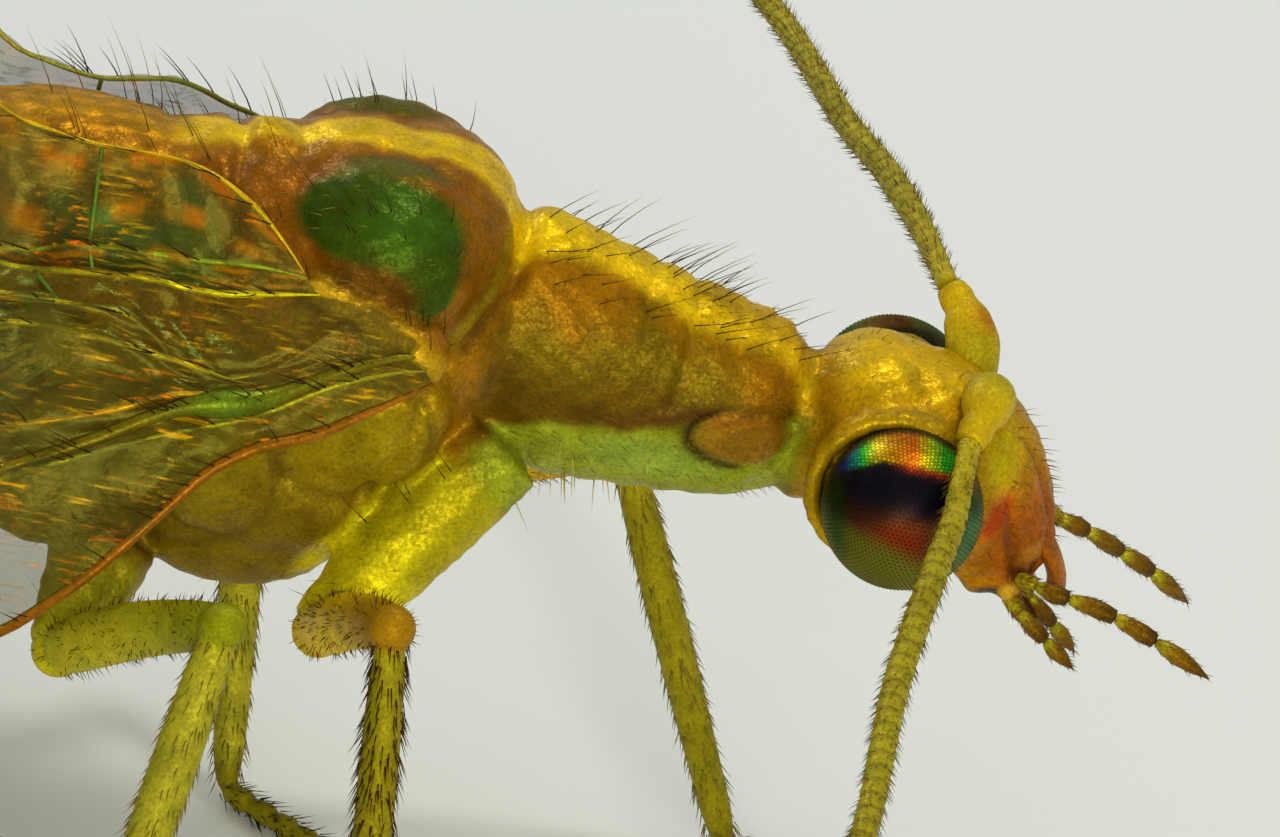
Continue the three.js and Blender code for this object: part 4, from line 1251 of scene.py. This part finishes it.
def make_scape(label, points_along):
    """The swollen first joints of a feeler"""
    scape = course(points_along, SCAPE_RINGS)
    share = np.linspace(0, 1, SCAPE_RINGS)
    points, faces = tube(scape, np.interp(share, SCAPE_PLACES, SCAPE_RADII), SCAPE_SIDES)
    paint = Paint(points, "#bc9c0e")
    paint.blend("#8a8c14", bell(round_tube(share, SCAPE_SIDES) - 0.3, 0.25) * 0.5)
    if label == "left":
        from_spot = np.linalg.norm(points - scape[12] - (0.08, -0.06, 0.05), axis=1)
        paint.blend("#a04a04", bell(from_spot, 0.09) * 0.8)
    name = f"antenna_base_{label}"
    put(f"{name}_skin", paint.surface(faces), LEG_SKIN, [name])


def make_flagellum(label, points_along):
    """The long ringed part of a feeler with its short bristles"""
    route = course(points_along, 1600)
    steps = travelled(route)
    rings = int(steps[-1] / RING_PITCH)
    spots = np.arange(rings * RING_STEPS + 1) / RING_STEPS * RING_PITCH
    path = along(spots, steps, route)
    phase = (np.arange(len(spots)) % RING_STEPS) / RING_STEPS
    far = spots / spots[-1]
    widths = np.interp(far, TAPER_PLACES, TAPER_RADII) * (0.94 + 0.09 * np.sin(phase * math.pi) ** 0.8)
    points, faces = tube(path, widths, FLAGELLUM_SIDES)
    far = round_tube(far, FLAGELLUM_SIDES)
    paint = Paint(points, "#9a8d12")
    paint.blend("#6a6010", bell(round_tube(phase, FLAGELLUM_SIDES, last=0), 0.16) * 0.7)
    paint.blend("#ae9a12", fall(far, 0.0, 0.12) * 0.7)
    paint.blend("#5a4a10", ramp(far, 0.3, 0.9) * 0.6)
    nodes = [f"flagellum_{part}_{label}" for part in (1, 2, 3)]
    put(f"flagellum_{label}_skin", paint.surface(faces), LEG_SKIN, nodes)

    tangents = unit(np.gradient(path, axis=0))
    helper = unit(np.cross(tangents, (0.2, 0.3, 1.0)))
    over = np.cross(tangents, helper)
    index = np.repeat(np.arange(2, len(path) - 2), BRISTLES_PER_STEP)
    turns = random.random(len(index))
    radial = np.cos(turns * TURN)[:, None] * helper[index] + np.sin(turns * TURN)[:, None] * over[index]
    roots = path[index] + radial * widths[index][:, None] * 0.95
    lean = radial * 0.45 + tangents[index] * 0.8
    lengths = 0.045 + 0.035 * random.random(len(index))
    bristles = Shape()
    grow(bristles, roots, lean, lengths, 0.0027, linear("#6a5818"), coat_places(index / len(path), turns))
    put(f"flagellum_{label}_bristles", bristles, BRISTLES, [], coat=True)


def make_palp(label, kind, points_along):
    radius, lengths = PALPS[kind]
    shape, bristles = Shape(), Shape()
    route = course(points_along, 400)
    steps = travelled(route)
    edges = np.concatenate([[0], np.cumsum(lengths)]) / sum(lengths) * steps[-1]
    share = np.linspace(0, 1, PALP_RINGS)
    for number, (low, high) in enumerate(zip(edges[:-1], edges[1:])):
        path = along(np.linspace(low, high - PALP_GAP, PALP_RINGS), steps, route)
        profile = np.interp(share, *(PALP_LAST if number == len(lengths) - 1 else PALP_OTHER))
        points, faces = tube(path, radius * profile, PALP_SIDES)
        tone = round_tube(share, PALP_SIDES)
        paint = Paint(points, "#6c4a06" if number else "#8e7c0e")
        paint.blend("#a8a020", bell(tone, 0.2) * 0.9)
        paint.blend("#3a2004", ramp(tone, 0.5, 0.95) * (0.8 if number else 0.3))
        shape.add(points, faces, paint.colours)
        leg_bristles(bristles, path, radius * profile, *PALP_BRISTLES, linear("#6a4416"))
    put(f"palp_{kind}_{label}_skin", shape, MOUTH, [f"palp_{kind}_{label}"])
    put(f"palp_{kind}_{label}_hairs", bristles, BRISTLES, [], coat=True)


def make_mouth():
    """Two hooked mandibles under a flat labrum"""
    for label, side in SIDES:
        path = mirrored(course(MANDIBLE, 12), side)
        points, faces = tube(path, np.linspace(0.085, 0.015, 12), 14, np.linspace(0.06, 0.015, 12))
        paint = Paint(points, "#8a4408")
        paint.blend("#3a1406", ramp(points[:, 0], 3.0, 3.2))
        put(f"mandible_{label}_skin", paint.surface(faces), MOUTH, [f"mandible_{label}"])
    path = course(LABRUM, 16)
    widths = np.interp(np.linspace(0, 1, 16), (0, 0.5, 1), (0.15, 0.14, 0.08))
    points, faces = tube(path, widths, 20, 0.05, upright=(1, 0, 0))
    paint = Paint(points, "#94500a")
    paint.blend("#4c1a04", fall(points[:, 2], -0.56, -0.42))
    put("labrum_skin", paint.surface(faces), MOUTH, ["labrum"])


# Bristles of the body

def make_body_bristles(points, normals):
    x, y, z = points.T
    width, up = np.abs(y), normals[:, 2]
    top = up > 0.5
    back, neck = top & (x < 0.05), (x > 0.25) & (x < 1.7)
    # Where, count, length, thickness, lean, colour, curl and how far they stand off the skin
    coats = (
        (top & neck & (width < 0.35), 60, 0.2, 0.0038, (0.8, 0, 0.2), "#4a3210", 0.35, 1),
        (back & (x > -0.9) & (width > 0.3), 44, 0.15, 0.0036, (-0.4, 0, 0.5), "#3a2c10", 0.4, 1),
        (back & (x > -2.6) & (x < -0.9), 40, 0.24, 0.0036, (-0.7, 0, 0.7), "#5a4a18", 0.6, 1),
        (neck & (x > 0.3) & (z < 0.75) & (z > -0.3), 420, 0.05, 0.0026, (0.7, 0, -0.1), "#8a6a10", 0.2,
         0.5),
        ((x > 0.4) & (x < 1.1) & (z < 0.0), 40, 0.11, 0.0045, (0.2, 0, -0.6), "#c9b860", 0.2, 1),
        ((x > 1.9) & (x < 2.6) & (up > 0.2), 50, 0.05, 0.0026, (0.5, 0, 0.1), "#7a6018", 0.2, 1),
        ((x > 2.8) & (normals[:, 0] > 0.2), 90, 0.06, 0.0028, (0.4, 0, -0.3), "#6a3c10", 0.2, 1),
        ((x < 0.0) & (x > -2.7) & (width > 0.4), 420, 0.06, 0.0028, (-0.6, 0, -0.2), "#8a7a30", 0.2, 0.5),
        ((x < -2.8) & (x > -8.9), 1500, 0.1, 0.0034, (-0.8, 0, 0), "#8a8a40", 0.25, 0.6),
    )
    shape = Shape()
    for place, count, length, thickness, lean, colour, curl, lift in coats:
        choices = np.flatnonzero(place)
        picks = random.choice(choices, count, replace=count > len(choices))
        roots = points[picks]
        directions = normals[picks] * lift + lean + random.normal(0, 0.14, (count, 3))
        lengths = length * (0.6 + 0.8 * random.random(count))
        grow(shape, roots, directions, lengths, thickness, linear(colour), unwrap(roots), lean, curl)
    put("body_bristles", shape, BRISTLES, [], coat=True)


# Stage, light and camera

FLOOR_HALF = 0.6
FLOOR_COLOUR = (0.8, 0.825, 0.79, 1)
WORLD_COLOUR, WORLD_STRENGTH = (0.95, 0.97, 0.93, 1), 0.5
LIT_POINT = (1.0, 0.0, 0.0)
# Place, size, power and colour of each soft light, in metres and watts
LIGHTS = {
    "above": ((0.012, 0.012, 0.07), 0.014, 0.012, (1.0, 0.98, 0.94)),
    "behind": ((-0.03, 0.055, 0.045), 0.02, 0.009, (1.0, 1.0, 1.0)),
    "fill": ((0.01, -0.11, 0.02), 0.09, 0.09, (1.0, 0.98, 0.93)),
}


def make_stage():
    mesh = bpy.data.meshes.new("floor")
    corners = [(x * FLOOR_HALF, y * FLOOR_HALF, 0) for x, y in ((-1, -1), (1, -1), (1, 1), (-1, 1))]
    mesh.from_pydata(corners, [], [(0, 1, 2, 3)])
    material = bpy.data.materials.new("pale_floor")
    material.use_nodes = True
    tree = material.node_tree
    feed(tree, tree.nodes["Principled BSDF"], {"Base Color": FLOOR_COLOUR, "Roughness": 0.8})
    mesh.materials.append(material)
    show("floor", mesh)


def make_light():
    world = bpy.context.scene.world or bpy.data.worlds.new("studio")
    bpy.context.scene.world = world
    world.use_nodes = True
    sky = {"Color": WORLD_COLOUR, "Strength": WORLD_STRENGTH}
    feed(world.node_tree, world.node_tree.nodes["Background"], sky)
    target = Vector((LIT_POINT + SHIFT) * MM)
    for name, (place, size, power, colour) in LIGHTS.items():
        light = bpy.data.lights.new(name, "AREA")
        light.shape = "DISK"
        light.size = size
        light.energy = power
        light.color = colour
        lamp = show(name, light)
        lamp.location = place
        lamp.rotation_euler = (target - Vector(place)).to_track_quat("-Z", "Y").to_euler()


def make_camera():
    centre = ((IMAGE_SIZE[0] / 2 - ORIGIN_PIXEL[0]) * PHOTO_RIGHT
              + (ORIGIN_PIXEL[1] - IMAGE_SIZE[1] / 2) * PHOTO_UP) * MM_PER_PIXEL
    distance = IMAGE_SIZE[0] * MM_PER_PIXEL * LENS / SENSOR
    place = (centre - PHOTO_FORWARD * distance + SHIFT) * MM
    data = bpy.data.cameras.new("camera")
    data.lens = LENS
    data.sensor_width = SENSOR
    data.clip_start = 0.001
    data.clip_end = 5.0
    data.dof.use_dof = False
    camera = show("camera", data)
    columns = np.stack([PHOTO_RIGHT, PHOTO_UP, -PHOTO_FORWARD], axis=1)
    camera.matrix_world = Matrix.Translation(place) @ Matrix(columns.tolist()).to_4x4()
    bpy.context.scene.camera = camera


make_camera()
make_light()
make_stage()
body_points, body_normals = make_body()
make_body_bristles(body_points, body_normals)
for side_name, side_sign in SIDES:
    make_eye(side_name, side_sign)
for side_name, side_sign in SIDES:
    make_wing(side_name, side_sign, "forewing", FOREWING)
    make_wing(side_name, side_sign, "hindwing", HINDWING)
for leg_name, leg_joints in LEGS.items():
    make_leg(leg_name, leg_joints)
for feeler_name, feeler in FEELERS.items():
    make_scape(feeler_name, feeler["scape"])
    make_flagellum(feeler_name, feeler["flagellum"])
    for palp_kind in PALPS:
        make_palp(feeler_name, palp_kind, feeler[palp_kind])
make_mouth()

bpy.context.scene.view_settings.view_transform = "Standard"
bpy.context.scene.view_settings.exposure = 0.0
